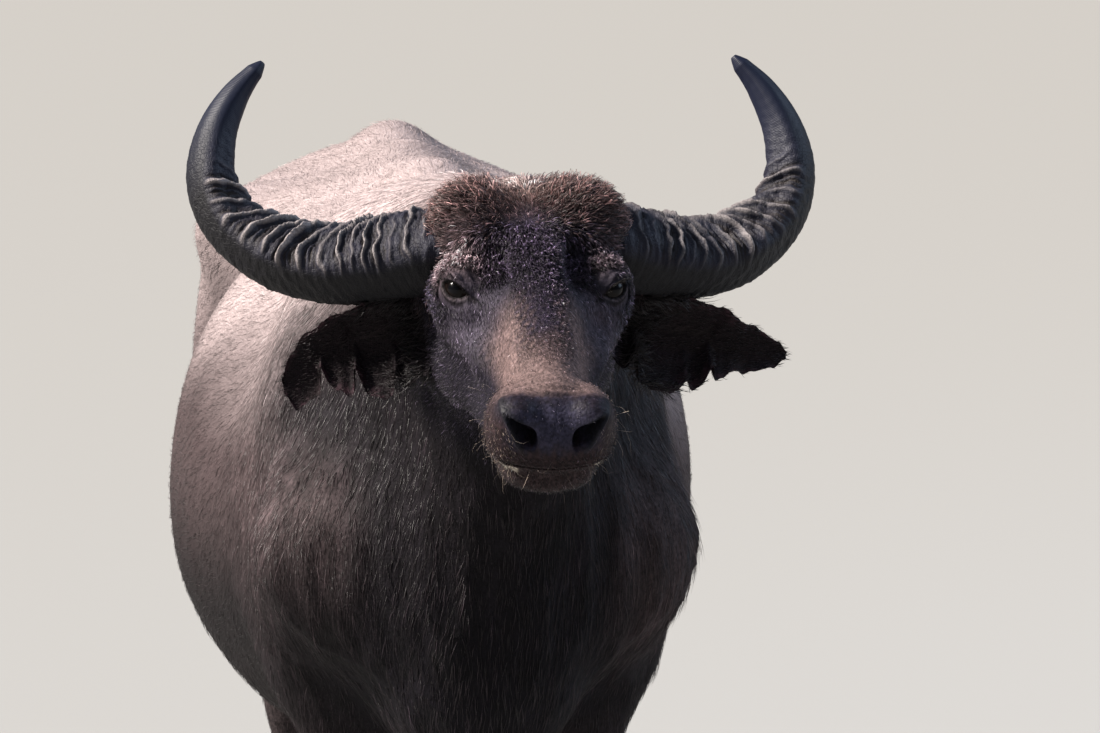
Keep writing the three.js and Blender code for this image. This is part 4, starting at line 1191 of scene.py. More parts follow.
# Hoof: grown keratin, near black with paler dusty blotches of 12 by 7 mm and upright fibres of 1.6 by 26 mm,
# worn matt by the ground. Keratin has an IOR of 1.55.
def hoofKeratin():
    look, tree, shader = newLook("hoofKeratin", IOR=1.55, Roughness=0.55)
    blotch = addNode(tree, "TexNoise", {"Vector": (inSizes(tree, (12, 12, 7)), 0), "Scale": 1.0, "Detail": 5.0})
    upright = inSizes(tree, (1.6, 1.6, 26))
    fibre = addNode(tree, "TexNoise", {"Vector": (upright, 0), "Scale": 1.0, "Detail": 3.0})
    dark, dusty = opaque(hoofTones["dark"]), opaque(hoofTones["dusty"])
    tone = addNode(tree, "MixRGB", {0: (blotch, "Fac"), 1: dark, 2: dusty})
    final = addNode(tree, "MixRGB", {0: (fibre, "Fac"), 1: (tone, 0), 2: opaque(hoofTones["fibres"])})
    tree.links.new(final.outputs[0], shader.inputs["Base Color"])
    bumped(tree, shader, [(fibre, "Fac", 0.35), (blotch, "Fac", 0.6)], 0.8)
    return look


eyeTones = {"irisDark": "070403", "irisLight": "120a08", "rim": "1a1211", "pupil": (0.003, 0.003, 0.004, 1)}


# Eye: living tissue, a very dark brown iris with flecks of 1.2 mm and a level black pupil, under a clear coat
# of tears that gives it a small sharp glint. Tears and cornea have an IOR of 1.38.
def wetEye():
    coating = {"Coat Weight": 0.2, "Coat IOR": 1.38, "Coat Roughness": 0.02}
    look, tree, shader = newLook("wetEye", 0.1, IOR=1.38, Roughness=0.25, **coating)
    off = addNode(tree, "Attribute", attribute_name="offAxis")
    flecks = inSizes(tree, (1.2, 1.2, 1.2))
    rays = addNode(tree, "TexNoise", {"Vector": (flecks, 0), "Scale": 1.0, "Detail": 3.0})
    dark, light = opaque(eyeTones["irisDark"]), opaque(eyeTones["irisLight"])
    iris = addNode(tree, "MixRGB", {0: (rays, "Fac"), 1: dark, 2: light})
    (out, full), (edge, past) = eyes["pupil"], eyes["iris"]
    toPupil = addNode(tree, "MapRange", {"Value": (off, "Fac"), "From Min": out, "From Max": full})
    toRim = addNode(tree, "MapRange", {"Value": (off, "Fac"), "From Min": edge, "From Max": past})
    black = addNode(tree, "MixRGB", {0: (toPupil, 0), 1: (iris, 0), 2: eyeTones["pupil"]})
    final = addNode(tree, "MixRGB", {0: (toRim, 0), 1: (black, 0), 2: opaque(eyeTones["rim"])})
    tree.links.new(final.outputs[0], shader.inputs["Base Color"])
    return look


paint = {
    "flank": "3d3334",
    # back: paler on top, partly dust and partly a painted highlight of the light from above
    "back": "8d8080",
    # belly: painted shade, darker under the body
    "belly": "151113",
    # chest: near-black hair, made darker still as painted shade
    "chest": "0a080d",
    "legs": "2e2728",
    "shanks": "4f4642",
    "feet": "231e1e",
    # face, stripe and forehead: dark skin and hair, with a bluish cast and part of their depth painted as shade
    "face": "16131c",
    "noseSides": "5e4d4b",
    "stripe": "29232f",
    "forehead": "110e16",
    "poll": "4a3837",
    "bald": "a8938c",
    "underEye": "433d48",
    # lidRim: dark lid margin, with painted shadow under the upper lid and painted shade on the lower lid's ring
    "lidRim": "0e0a0b",
    "lowerRim": "5d5152",
    "brow": "7d6a6d",
    # brow: brown-grey skin, painted paler as highlight
    "lipSpeck": "191214",
    "lips": "2c2123",
    "pad": "2d2b3a",
    "wing": "17171d",
    # wing: painted shade inside the nostrils and in the fold round their wings
    "lipCorner": "a39a8e",
    "chin": "352b2c",
    "earInside": "110a0e",
    "earRim": "2c1c22",
    "earBack": "1e1819",
}


# Where a point is on its own side's ear: share along it, -1 to 1 across it, height over its middle sheet, and
# a weight that is 1 on the ear and 0 on the head
def onEar(points):
    found = [np.zeros(len(points)) for _ in range(4)]
    for name, side in (("left", 1), ("right", -1)):
        root, axis, across, facing = earFrame(side)
        away = points - root
        s = away @ axis / ears["length"][name]
        inside = np.clip(s, 0, 1)
        above, below = earEdges(name, inside)
        v = 2 * (away @ across + ears["hang"] * inside**2 + below) / (above + below) - 1
        lift = away @ facing - graded(ears["cup"], inside) * (v * v - 0.5)
        weight = ramp(s, 0.05, 0.16) * ramp(s, 1.12, 1.06)
        weight = weight * ramp(np.abs(lift), 44, 30) * ramp(np.abs(v), 1.6, 1.3)
        for kept, value in zip(found, (s, v, lift, weight)):
            kept[:] = np.where(weight > found[3], value, kept)
    return found


# The bare patch on top of the poll: a bell over the distance from its middle
def baldAt(local):
    return bell(np.linalg.norm((local - (-10, 139, 46)) / (1.5, 1.1, 1), axis=1), 19)


# The pale skin at the two ends of the front lip: a bell along the lip times a bell across it
def lipPale(share, height):
    side = np.sign(share)
    return bell(np.abs(share) - 0.42 - 0.03 * side, 0.1) * bell(height + 7 - 4 * side, 6 - 1.5 * side)


# The markings, for hide and coat alike, with painted light and shade in some layers: colour at each point of
# the forms. Each layer is laid over the flank's colour with its own weight from 0 to 1, and three wandering
# values of
# 340, 46 and 11 mm break up their edges.
def markedAt(points):
    x, y, z = points.T
    local = toHead(points)
    hx, hy, hz = local.T
    ax = np.abs(hx)
    share, height = overMouth(local)
    patchy, blotchy, speckled = wander(points, 340, 21), wander(points, 46, 22), wander(points, 11, 23)
    head = headShare(local, 120, 185)
    top = ramp(hz, -45, -12)
    eyeAway = [local - eyeFrame(side)[0] for side in (1, -1)]
    eyeRay = [unit(away @ eyeFrame(side)[1].T) * eyes["lidRadius"] for away, side in zip(eyeAway, (1, -1))]
    out = np.minimum(*(outOfAlmond(ray[:, 0], ray[:, 1]) + 60 * (ray[:, 2] < 0) for ray in eyeRay))
    out = out + 60 * (np.minimum(*(np.linalg.norm(away, axis=1) for away in eyeAway)) > 36)
    lowLid = ramp(np.where(hx > 0, eyeRay[0][:, 1], eyeRay[1][:, 1]), 0, -4)
    s, v, lift, ear = onEar(points)
    inEar = ear * ramp(lift, -4, 0)
    muzzle = ramp(hy, -205, -232)
    # Painted highlight: the back is paler above, partly dust and partly the light that falls on it from above
    back = 0.95 * ramp(z + 50 * patchy, 1010, 1230) * ramp(y, -240, -40)
    # Chest: near-black hair, made darker still as painted shade, less so low on the shoulders
    chest = 0.95 * mix(1, 0.3, ramp(np.abs(x), 130, 215) * ramp(z, 1120, 1000)) * ramp(y, 150, -190)
    chest = chest * ramp(z + 60 * patchy - 110 * ramp(y, -150, -340), 1330, 1130) * ramp(z, 480, 640)
    noseSides = head * top * ramp(hy, -40, -100) * ramp(hy, -246, -228) * ramp(ax + 7 * speckled, 86, 44)
    underEye = head * bell(np.hypot(ax - 80, (hy + 46) * 0.8), 34) * ramp(hz, -90, -40)
    stripe = head * top * ramp(ax + 12 * speckled, 42, 6) * ramp(hy + 14 * blotchy, -185, -110)
    # Brow: brown-grey skin painted paler as highlight, most on the animal's right, which the key light faces
    brow = mix(0.25, 0.8, ramp(hx, 40, -40)) * head * bell(np.hypot(ax - 92, (hy - 30) * 0.8), 24)
    pad = head * ramp(hy, -226, -244) * ramp(height + 4 * speckled, 20, 46)
    pad = pad * ramp(ax, 64, 46) * ramp(hz + 4 * speckled, 28, 12)
    # Lid rims: dark margin with painted shadow under the upper lid and lashes, and a painted shade band over
    # the lower lid's ring
    rimmed = np.maximum(ramp(out, 3.4 - 2.2 * lowLid, 1.0), 0.85 * lowLid * bell(out - 4.0, 1.7))
    edged = ramp(np.abs(v + 0.1 * blotchy), 0.72, 0.95) * ramp(speckled, -0.5, 0.4) * ramp(s, 0.25, 0.5)
    layers = (
        ("back", back * (1 - head)),
        # Painted shade: darker towards the belly and underside
        ("belly", ramp(z + 40 * patchy, 1000, 760)),
        ("chest", chest),
        ("legs", 0.8 * ramp(z + 30 * patchy, 760, 560)),
        ("shanks", 0.8 * ramp(z + 40 * blotchy, 430, 300) * (0.75 + 0.25 * blotchy)),
        ("feet", ramp(z + 8 * blotchy, 150, 100)),
        # Face: dark skin, with a bluish cast and part of its depth painted as shade
        ("face", head),
        ("noseSides", noseSides * 0.95),
        ("underEye", underEye * 0.8),
        ("forehead", head * top * ramp(hy + 10 * blotchy, -30, 20) * ramp(ax, 92, 66)),
        ("stripe", stripe),
        # Painted shade in the hollows above the inner brows, over their dark hair
        ("forehead", 0.7 * head * bell(np.hypot(ax - 52, hy + 2), 26) * top),
        ("poll", head * ramp(hy + 8 * blotchy, 62, 104) * ramp(hz, -90, -40)),
        ("bald", 0.9 * baldAt(local + 4 * speckled[:, None])),
        ("brow", brow * ramp(hz, -20, 0)),
        ("lips", head * muzzle * (1 - 0.85 * ramp(hz, -6, 16))),
        ("lipSpeck", 0.75 * head * muzzle * ramp(speckled, 0.0, 0.7) * ramp(hz, 12, -6)),
        ("pad", pad),
        # Painted shade inside the nostrils and in the fold round their wings
        ("wing", head * ramp(outOfNostril(local), 1.9, 1.1) * ramp(ax, 30, 44) * ramp(hy, -222, -234)),
        ("chin", head * ramp(hy, -170, -200) * ramp(height, -3, -7) * (0.8 + 0.25 * speckled)),
        ("lipCorner", head * muzzle * ramp(lipPale(share, height) * (1 + 0.8 * speckled), 0.3, 0.6)),
        # Painted shade over the upper lid fold of the animal's left eye
        ("face", 0.75 * head * bell(out - 8, 6) * ramp(hx, -20, 20) * (1 - lowLid)),
        ("lowerRim", head * bell(out - 1.9, 0.6) * lowLid * 0.5),
        ("lidRim", head * rimmed),
        ("earBack", ear),
        ("earInside", inEar),
        ("earRim", inEar * edged),
    )
    color = np.broadcast_to(linear(paint["flank"]), points.shape).copy()
    for name, weight in layers:
        color = mix(color, linear(paint[name]), np.clip(weight, 0, 1)[:, None])
    color *= (1 + 0.13 * patchy + 0.1 * blotchy + 0.06 * speckled)[:, None]
    strands = wander(points, 15, 24, (1, 1, 8)) + 0.8 * wander(points, 38, 25, (1, 1, 6))
    onNeck = ramp(y, 160, -20) * (1 - head) * (1 - ear) * ramp(z, 600, 760) * ramp(z, 1320, 1120)
    color *= np.exp(0.34 * strands * onNeck)[:, None]
    return np.clip(color, 0.002, 0.9)


# Moist skin on the nose pad: ramps over its front, height and width
def moistAt(points):
    local = toHead(points)
    _, height = overMouth(local)
    onPad = ramp(local[:, 1], -222, -238) * ramp(height, 16, 32) * ramp(np.abs(local[:, 0]), 76, 62) * 0.8
    return onPad * ramp(local[:, 2], -300, -230)


# How far the hair hangs down instead of lying back: the most of its shares on neck, legs and rump
def hangAt(points):
    _, y, z = points.T
    return np.maximum.reduce((ramp(y, 260, -60), ramp(z, 780, 620), ramp(y, 1010, 1190)))


skin = skinPiece(hideLook())
skinAt = toForms(meshPoints(skin.data))
storeColor(skin.data, "hideColor", markedAt(skinAt))
store(skin.data, "moist", moistAt(skinAt))
store(skin.data, "hang", hangAt(skinAt))
print("skin made:", len(skinAt), "points")


# Lie of the hair: back along the barrel, down over neck, rump, belly sides and legs, down the face from a whorl
# between the brows, outwards over the poll, and along the ears. These ways are mixed by their shares, wander by
# a swirl, and are laid flat on the skin.
def lieAt(points, normals):
    local = toHead(points)
    hx, hy, hz = local.T
    hang = hangAt(points)[:, None]
    lie = mix(np.array((0, 1, -0.35)), np.array((0, 0.22, -1)), hang)
    swirl = np.stack((wander(points, 260, 31), wander(points, 260, 32), wander(points, 260, 33)), -1)
    lie = lie + mix(0.28, 0.14, hang) * swirl
    face = np.stack((0.25 * hx / 60, -1 + 0 * hx, -0.1 + 0 * hx), -1)
    cheek = np.broadcast_to(np.array((0, 0.45, -1.0)), face.shape)
    pollLie = np.stack((1.5 * np.tanh(hx / 22), 0.35 + 0 * hx, 0.1 + 0 * hx), -1)
    onFace = mix(face, cheek, ramp(hz, -40, -80)[:, None])
    onFace = mix(onFace, pollLie, (ramp(hy, 38, 74) * ramp(hz, -80, -30))[:, None]) + 0.22 * swirl
    head = headShare(local, 140, 200)[:, None]
    lie = mix(lie, onFace @ headTurn.T, head)
    ear = onEar(points)[3]
    earLie = np.where(points[:, :1] > body["eyesPlace"][0], earFrame(1)[1], earFrame(-1)[1])
    lie = mix(lie, earLie + 0.25 * swirl, ear[:, None])
    return unit(lie - normals * np.sum(lie * normals, -1, keepdims=True))


# Rectangles of the coat's map, one for each region of the body: left, bottom, width and height
coatMap = {
    "trunk": (0.36, 0.02, 0.62, 0.6),
    "tail": (0.36, 0.66, 0.1, 0.3),
    "leg": (0.48, 0.66, 0.11, 0.3),
    "head": (0.02, 0.02, 0.32, 0.46),
    "ear": (0.02, 0.52, 0.07, 0.44),
    "nextLeg": 0.125,
    "earBack": 0.09,
    "leftEar": 0.18,
}


# A share across and along a region becomes a place in its rectangle
def mapPlace(region, across, along, aside=0.0):
    left, bottom, width, height = coatMap[region]
    return left + aside + width * across, bottom + height * along


# Share of a full turn round an axis, from two distances to it
def turnShare(first, second):
    return np.arctan2(first, second) / (2 * np.pi) + 0.5


# Place on the coat's map: skin is unrolled by the angle round its region's axis and the distance along it
def unrolled(points):
    x, y, z = points.T
    hx, hy, hz = toHead(points).T
    s, across, lift, ear = onEar(points)
    earAside = coatMap["earBack"] * (lift < -3) + coatMap["leftEar"] * (x > body["eyesPlace"][0])
    u, v = mapPlace("trunk", turnShare(x, z - 950), np.clip((y + 480) / 1800, 0, 1))
    onTail = (y > 1262) & (z < 1180)
    regions = [(onTail, "tail", turnShare(x - 6, y - rumpBack - 20), np.clip((z - 400) / 800, 0, 1), 0.0)]
    for number, leg in enumerate(legs.values()):
        foot = leg["fetlock"]
        here = (z < 640) & (np.abs(y - foot[1]) < 260) & (np.sign(x) == np.sign(foot[0]))
        around = turnShare(x - foot[0], y - foot[1])
        regions.append((here, "leg", around, np.clip(z / 640, 0, 1), coatMap["nextLeg"] * number))
    onSkull = (hy < 175) & (hz > -260)
    regions.append((onSkull, "head", turnShare(hx, hz + 45), np.clip((hy + 285) / 460, 0, 1), 0.0))
    earAcross = np.clip(across, -1.2, 1.2) / 2.4 + 0.5
    regions.append((ear > 0.5, "ear", earAcross, np.clip(s, 0, 1.05) / 1.05, earAside))
    for here, region, sideways, along, aside in regions:
        left, up = mapPlace(region, sideways, along, aside)
        u, v = np.where(here, left, u), np.where(here, up, v)
    return np.stack((u, v), -1)


# Closed blades of three sides from roots to tips. Each runs straight from root to tip with a bow of 4t(1 - t)
# times its bow vector, and its width falls off as 1 - 0.8 t^1.6 from a narrower root. It is 0.6 as thick as
# wide. Rings stand at equal steps, then comes the tip. On the map OFBake each blade is a patch of 0.003 at its
# root's place.
def bladeMesh(name, roots, tips, bows, ups, widths, rings, colors, tipColors):
    count = len(roots)
    t = (np.arange(rings) / rings)[None, :, None]
    way = unit(tips - roots)
    across = unit(np.cross(ups, way))
    up = np.cross(way, across)
    middle = mix(roots[:, None], tips[:, None], t) + bows[:, None] * 4 * t * (1 - t)
    half = widths[:, None, None] / 2 * (1 - 0.8 * t**1.6) * np.where(t > 0, 1, 0.75)
    corners = []
    for angle in np.radians((90, 210, 330)):
        aside = across[:, None] * np.cos(angle) + 0.6 * up[:, None] * np.sin(angle)
        corners.append(middle + half * aside)
    points = np.concatenate((np.stack(corners, 2).reshape(count, -1, 3), tips[:, None]), 1)
    j = np.arange(3)
    k = (j + 1) % 3
    faces = [np.array([[0, 2, 1]])]
    for ring in range(rings - 1):
        a, b = ring * 3, ring * 3 + 3
        faces += [np.stack((a + j, a + k, b + k), -1), np.stack((a + j, b + k, b + j), -1)]
    a = rings * 3 - 3
    faces.append(np.stack((a + j, a + k, 0 * j + rings * 3), -1))
    pattern = np.concatenate(faces)
    each = rings * 3 + 1
    triangles = (pattern[None] + (np.arange(count) * each)[:, None, None]).reshape(-1, 3)
    mesh = newMesh(name, toMetres(points.reshape(-1, 3)), triangles)
    share = np.append(np.repeat(np.arange(rings) / rings, 3), 1.0)[None, :, None]
    storeColor(mesh, "coatColor", mix(colors[:, None], tipColors[:, None], share).reshape(-1, 3))
    run = np.append(np.tile((0.0, -0.5, 0.5), rings), 0.0)
    patch = 0.003 * np.stack((run, share[0, :, 0] - 0.5), -1)
    place = (unrolled(roots)[:, None] + patch[None]).reshape(-1, 2)
    layer = mesh.uv_layers.new(name="OFBake")
    layer.data.foreach_set("uv", place[triangles.ravel()].astype(np.float32).ravel())
    return mesh


# Roots over the skin: as many as each triangle's area in cm2 times the density there asks for, at seeded places
def rootsOn(density, most, seed):
    draw = np.random.default_rng(seed)
    amount = skinAreas * density
    count = int(min(most, amount.sum()))
    total = np.cumsum(amount)
    pick = np.searchsorted(total / total[-1], (np.arange(count) + draw.random(count)) / count)
    pick = skinTriangles[np.minimum(pick, len(skinTriangles) - 1)]
    a, b = np.sqrt(draw.random(count)), draw.random(count)
    shares = np.stack((1 - a, a * (1 - b), a * b), -1)[..., None]
    return (skinAt[pick] * shares).sum(1), unit((skinNormals[pick] * shares).sum(1))


# A setting at each root: one number, or a function of the place
def settingAt(setting, roots):
    return setting(roots) if callable(setting) else np.full(len(roots), float(setting))


# Lengths that change over the body, and how far the brow's hair has its own colour: ramps between two values
def neckLength(roots):
    return mix(22.0, 34.0, ramp(roots[:, 1], 120, -160))


def faceLength(roots):
    return mix(5.0, 9.0, ramp(toHead(roots)[:, 1], -180, 20))


def browLength(roots):
    return mix(6.0, 15.0, ramp(toHead(roots)[:, 1], -100, 60))


def browOwn(roots):
    return mix(0.6, 0.15, ramp(np.abs(toHead(roots)[:, 0]), 55, 72))


def pollLength(roots):
    local = toHead(roots)
    return mix(13.0, 22.0, ramp(local[:, 1], 60, 110)) * mix(0.65, 1.15, ramp(np.abs(local[:, 0] + 8), 18, 46))


# The coat's pieces, in the order they are made. Density is in tufts to the cm2 up to the most, length and
# width in mm, lift in degrees off the skin, and rings the steps of a blade. Own is how far hair has its own
# colour and not the skin's, tone how much tufts differ in it, and curl how far they bend aside.
coat = {
    "coatLeft": {
        "density": 1.7, "most": 19900, "seed": 41, "rings": 2, "length": 25, "width": 0.75, "lift": 5,
        "hair": "2b2322", "own": 0.1, "tone": 0.22, "curl": 0.12,
    },
    "coatRight": {
        "density": 1.7, "most": 19900, "seed": 42, "rings": 2, "length": 25, "width": 0.75, "lift": 5,
        "hair": "2b2322", "own": 0.1, "tone": 0.22, "curl": 0.12,
    },
    "coatNeck": {
        "density": 3.0, "most": 19900, "seed": 43, "rings": 2, "length": neckLength, "width": 0.9, "lift": 5,
        "hair": "54464a", "own": 0.1, "tone": 0.36, "curl": 0.07,
    },
    "coatLegs": {
        "density": 2.0, "most": 11500, "seed": 44, "rings": 2, "length": 14, "width": 0.95, "lift": 10,
        "hair": "2b2322", "own": 0.3, "tone": 0.2, "curl": 0.12,
    },
    "coatFace": {
        "density": 12.0, "most": 19900, "seed": 45, "rings": 2, "length": faceLength, "width": 0.8, "lift": 22,
        "hair": "3a333d", "own": 0.25, "tone": 0.6, "curl": 0.12,
    },
    "coatBrow": {
        "density": 60.0, "most": 19900, "seed": 49, "rings": 2, "length": browLength, "width": 0.9, "lift": 30,
        "hair": "1e1821", "own": browOwn, "tone": 0.85, "curl": 0.12,
    },
    "coatPoll": {
        "density": 22.0, "most": 12400, "seed": 46, "rings": 3, "length": pollLength, "width": 1.2, "lift": 40,
        "hair": "41302e", "own": 0.5, "tone": 0.6, "curl": 0.2,
    },
    "coatEars": {
        "density": 6.0, "most": 6000, "seed": 47, "rings": 2, "length": 9, "width": 0.9, "lift": 18,
        "hair": "161012", "own": 0.5, "tone": 0.3, "curl": 0.12,
    },
    # Ear fringe: dark hair, made darker still as painted shade
    "earFringe": {
        "density": 12.0, "most": 3000, "seed": 48, "rings": 3, "length": 24, "width": 1.1, "lift": 30,
        "hair": "0f0a0c", "own": 0.8, "tone": 0.35, "curl": 0.25,
    },
    "chinBristles": {
        "density": 20.0, "most": 2200, "seed": 50, "rings": 2, "length": 6, "width": 0.6, "lift": 50,
        "hair": "171112", "own": 0.85, "tone": 0.3, "curl": 0.12,
    },
    "paleBristles": {
        "density": 10.0, "most": 700, "seed": 53, "rings": 2, "length": 6, "width": 0.5, "lift": 45,
        "hair": "8a7a6e", "own": 0.7, "tone": 0.3, "curl": 0.12,
    },
    "whiskers": {
        "density": 3.0, "most": 46, "seed": 54, "rings": 3, "length": 38, "width": 0.38, "lift": 46,
        "hair": "8a7d72", "own": 0.7, "tone": 0.4, "curl": 0.2,
    },
}


# A stretch of coat: blades run along the lie of the hair, stand up by an angle, bow out in their middle and
# curl sideways. Clumps of 7 mm share their lift and tone. A tuft's colour is the skin's, drawn to its own, with
# painted shade darkening its root and a painted glint paling its tip.
def coatPiece(name, mask):
    look = coat[name]
    roots, normals = rootsOn(mask * look["density"], look["most"], look["seed"])
    draw = np.random.default_rng(look["seed"] + 1000)
    count, tone, curl = len(roots), look["tone"], look["curl"]

    # 1 plus or minus an amount, drawn for each tuft
    def spread(amount):
        return 1 + amount * (2 * draw.random((count, 1)) - 1)

    length = settingAt(look["length"], roots)[:, None] * spread(0.35)
    width = look["width"] * spread(0.3)[:, 0] * np.clip(length[:, 0] / np.mean(length), 0.5, 1.2)
    angle = np.radians(settingAt(look["lift"], roots))[:, None] * spread(0.6)
    clump = wander(roots, 7, look["seed"] + 200)[:, None]
    angle = angle * np.clip(1 + 1.2 * tone * clump, 0.2, 2.2)
    lie = lieAt(roots, normals)
    aside = np.cross(normals, lie)
    lie = unit(lie + aside * draw.normal(0, 1.3 * curl, (count, 1)))
    start = roots - normals * 0.5
    tips = roots + length * (lie * np.cos(angle) + normals * np.sin(angle) * 0.55)
    tips = tips + aside * length * draw.normal(0, curl, (count, 1))
    bows = normals * length * np.sin(angle) * 0.3 + aside * length * draw.normal(0, curl * 0.5, (count, 1))
    color = mix(markedAt(roots), linear(look["hair"]), settingAt(look["own"], roots)[:, None])
    color = color * np.exp(draw.normal(0, tone, (count, 1)) + 2.3 * tone * clump)
    # Painted glint at the tip and painted shade at the root
    pale = np.clip(color * (1.35 + 0.5 * draw.random((count, 1))), 0, 0.9)
    deep = np.clip(color * 0.8, 0, 0.9)
    mesh = bladeMesh(name, start, tips, bows, normals, width, look["rings"], deep, pale)
    print(name, count, "tufts", len(mesh.polygons), "triangles")
    return newPiece(name, mesh, "hair", coatHair)


# Where each piece of coat stands, as shares at the skin triangles' middles: sides, neck and legs off the head,
# and on it face, brow, poll, ears, lips and muzzle. Nostrils, open eyes, moist pad and bare patch stay free.
def coatMasks(middles):
    local = toHead(middles)
    x, y, z = local.T
    head = headShare(local, 165, 185)
    along, across, lift, ear = onEar(middles)
    share, height = overMouth(local)
    offHead = (1 - head) * (1 - ear)
    notNostril = ramp(outOfNostril(local), 1.0, 1.3)
    eyeReach = np.minimum(*(np.linalg.norm(local - eyeFrame(side)[0], axis=1) for side in (1, -1)))
    offEye = ramp(eyeReach, 27, 31)
    trunk = offHead * ramp(middles[:, 2], 600, 660)
    sides = trunk * ramp(middles[:, 1], 40, 140)
    poll = head * ramp(y, 44, 66) * ramp(z, -95, -60) * (1 - ear)
    poll = poll * ramp(baldAt(local), 0.55, 0.3)
    brow = head * (1 - ear) * (1 - poll) * offEye * ramp(z, -50, -20)
    brow = brow * np.maximum(ramp(y, -30, 0), ramp(np.abs(x), 38, 24) * ramp(y, -190, -140))
    face = head * (1 - poll) * (1 - ear) * notNostril * offEye * (1 - moistAt(middles))
    fringe = ear * ramp(np.abs(across), 0.78, 0.95) * ramp(along, 0.5, 0.25)
    lips = head * ramp(y, -190, -215) * notNostril * ramp(height, 30, 14) * ramp(height, -60, -40)
    lips = lips * ramp(lipPale(share, height), 0.3, 0.1)
    muzzleSides = head * ramp(y, -170, -200) * ramp(np.abs(x), 44, 54) * ramp(z, 10, -10) * notNostril
    return {
        "coatLeft": sides * (middles[:, 0] > 0),
        "coatRight": sides * (middles[:, 0] <= 0),
        "coatNeck": trunk * ramp(middles[:, 1], 150, 60),
        "coatLegs": offHead * ramp(middles[:, 2], 660, 600),
        "coatFace": face * (1 - 0.8 * brow),
        "coatBrow": brow,
        "coatPoll": poll,
        "coatEars": ear,
        "earFringe": np.maximum(fringe, ear * ramp(along, 0.3, 0.1) * (lift > -3)),
        "chinBristles": lips,
        "paleBristles": muzzleSides,
        "whiskers": 0.6 * lips + muzzleSides,
    }


skin.data.calc_loop_triangles()
skinTriangles = arrayOf(skin.data.loop_triangles, "vertices", 3, np.int32)
skinNormals = outward(skin.data)
cornerAt = skinAt[skinTriangles]
sideways = np.cross(cornerAt[:, 1] - cornerAt[:, 0], cornerAt[:, 2] - cornerAt[:, 0])
skinAreas = np.linalg.norm(sideways, axis=1) / 200  # half the cross product's length, in cm2
coatHair = hairLook()
for pieceName, pieceMask in coatMasks(cornerAt.mean(1)).items():
    coatPiece(pieceName, pieceMask)

lashShape = {"each": 70, "halfSpan": 15.5, "length": 12, "width": 0.55, "rings": 3, "hair": "0f0b0b"}


# Lashes: blades that stand along the upper lid's rim, spread like a fan and bow upwards
def lashes():
    draw = np.random.default_rng(61)
    each, span = lashShape["each"], lashShape["halfSpan"]
    roots, tips, ups = [], [], []
    for side in (1, -1):
        centre, axes = eyeFrame(side)
        u = np.linspace(-span, span, each) + draw.normal(0, 0.2, each)
        v = eyes["slant"] * u + eyes["openUpper"] * (1 - (u / eyes["openHalf"]) ** 2) ** 0.8 + 1.2
        w = np.sqrt(eyes["lidRadius"] ** 2 - u**2 - v**2)
        root = unit(np.stack((u, v, w), -1)) * (eyes["ballRadius"] + 2.6)
        way = unit(np.stack((u / 26, 0.1 + 0 * u, 1 + 0 * u), -1) + draw.normal(0, 0.12, (each, 3)))
        tip = root + way * (lashShape["length"] + 3 * draw.normal(0, 1, (each, 1)))
        roots.append(fromHead(root @ axes + centre))
        tips.append(fromHead(tip @ axes + centre))
        ups.append(np.tile(axes[1] @ headTurn.T, (each, 1)))
    roots, tips, ups = np.vstack(roots), np.vstack(tips), np.vstack(ups)
    dark = np.tile(linear(lashShape["hair"]), (len(roots), 1))
    width = np.full(len(roots), lashShape["width"])
    mesh = bladeMesh("lashes", roots, tips, ups * 1.6, ups, width, lashShape["rings"], dark, dark)
    newPiece("lashes", mesh, "hair", coatHair)


switch = {
    "hairs": 3200,
    "locks": 21,
    "rootFrom": 735,
    "rootTo": 560,
    "longest": 300,
    "shortest": 120,
    "width": 2.1,
    "rings": 4,
    "hair": "221a19",
}


# Tail switch: blades that grow round the end of the tail, gather in locks and fall to the hocks. A hair's tip
# goes to its own lock's end, which stands out from the tail's axis the lock's way, with a small random offset.
def tailSwitch():
    draw = np.random.default_rng(71)
    count = switch["hairs"]
    end, _ = pathAt(tail["path"], np.array([1.0]))
    lock = draw.integers(0, switch["locks"], count)
    goldenAngle = 2.39996
    lockTurn = np.arange(switch["locks"]) * goldenAngle + draw.normal(0, 0.2, switch["locks"])
    lockEnd = draw.uniform(body["switchEnd"] + 4, body["switchEnd"] + 120, switch["locks"])
    lockOut = draw.uniform(6, 26, switch["locks"])
    down = draw.random(count)
    turn = lockTurn[lock] + draw.normal(0, 0.35, count)
    rootZ = mix(switch["rootFrom"], switch["rootTo"], down)
    radius = mix(11, 3, down)
    ring = np.stack((np.cos(turn), np.sin(turn), 0 * turn), -1)
    axis = np.tile((end[0, 0], end[0, 1], 0), (count, 1))
    roots = axis + ring * radius[:, None] + rootZ[:, None] * (0, 0, 1)
    length = np.clip(rootZ - lockEnd[lock] - draw.exponential(14, count), switch["shortest"], switch["longest"])
    lockWay = np.stack((np.cos(lockTurn), np.sin(lockTurn), 0 * lockTurn), -1)[lock]
    tipZ = np.maximum(rootZ - length, body["switchEnd"] + 2)
    tips = axis + lockWay * lockOut[lock][:, None] + draw.normal(0, 3.2, (count, 3)) + tipZ[:, None] * (0, 0, 1)
    tips[:, 2] = np.maximum(tips[:, 2], body["switchEnd"] + 1)
    bows = ring * draw.uniform(5, 15, (count, 1))
    color = np.tile(linear(switch["hair"]), (count, 1)) * np.exp(draw.normal(0, 0.3, (count, 1)))
    width = np.full(count, switch["width"])
    mesh = bladeMesh("tailSwitch", roots, tips, bows, ring, width, switch["rings"], color, color * 1.7)
    newPiece("tailSwitch", mesh, "hair", coatHair, "tail_switch")


lashes()
tailSwitch()
print("coat made")

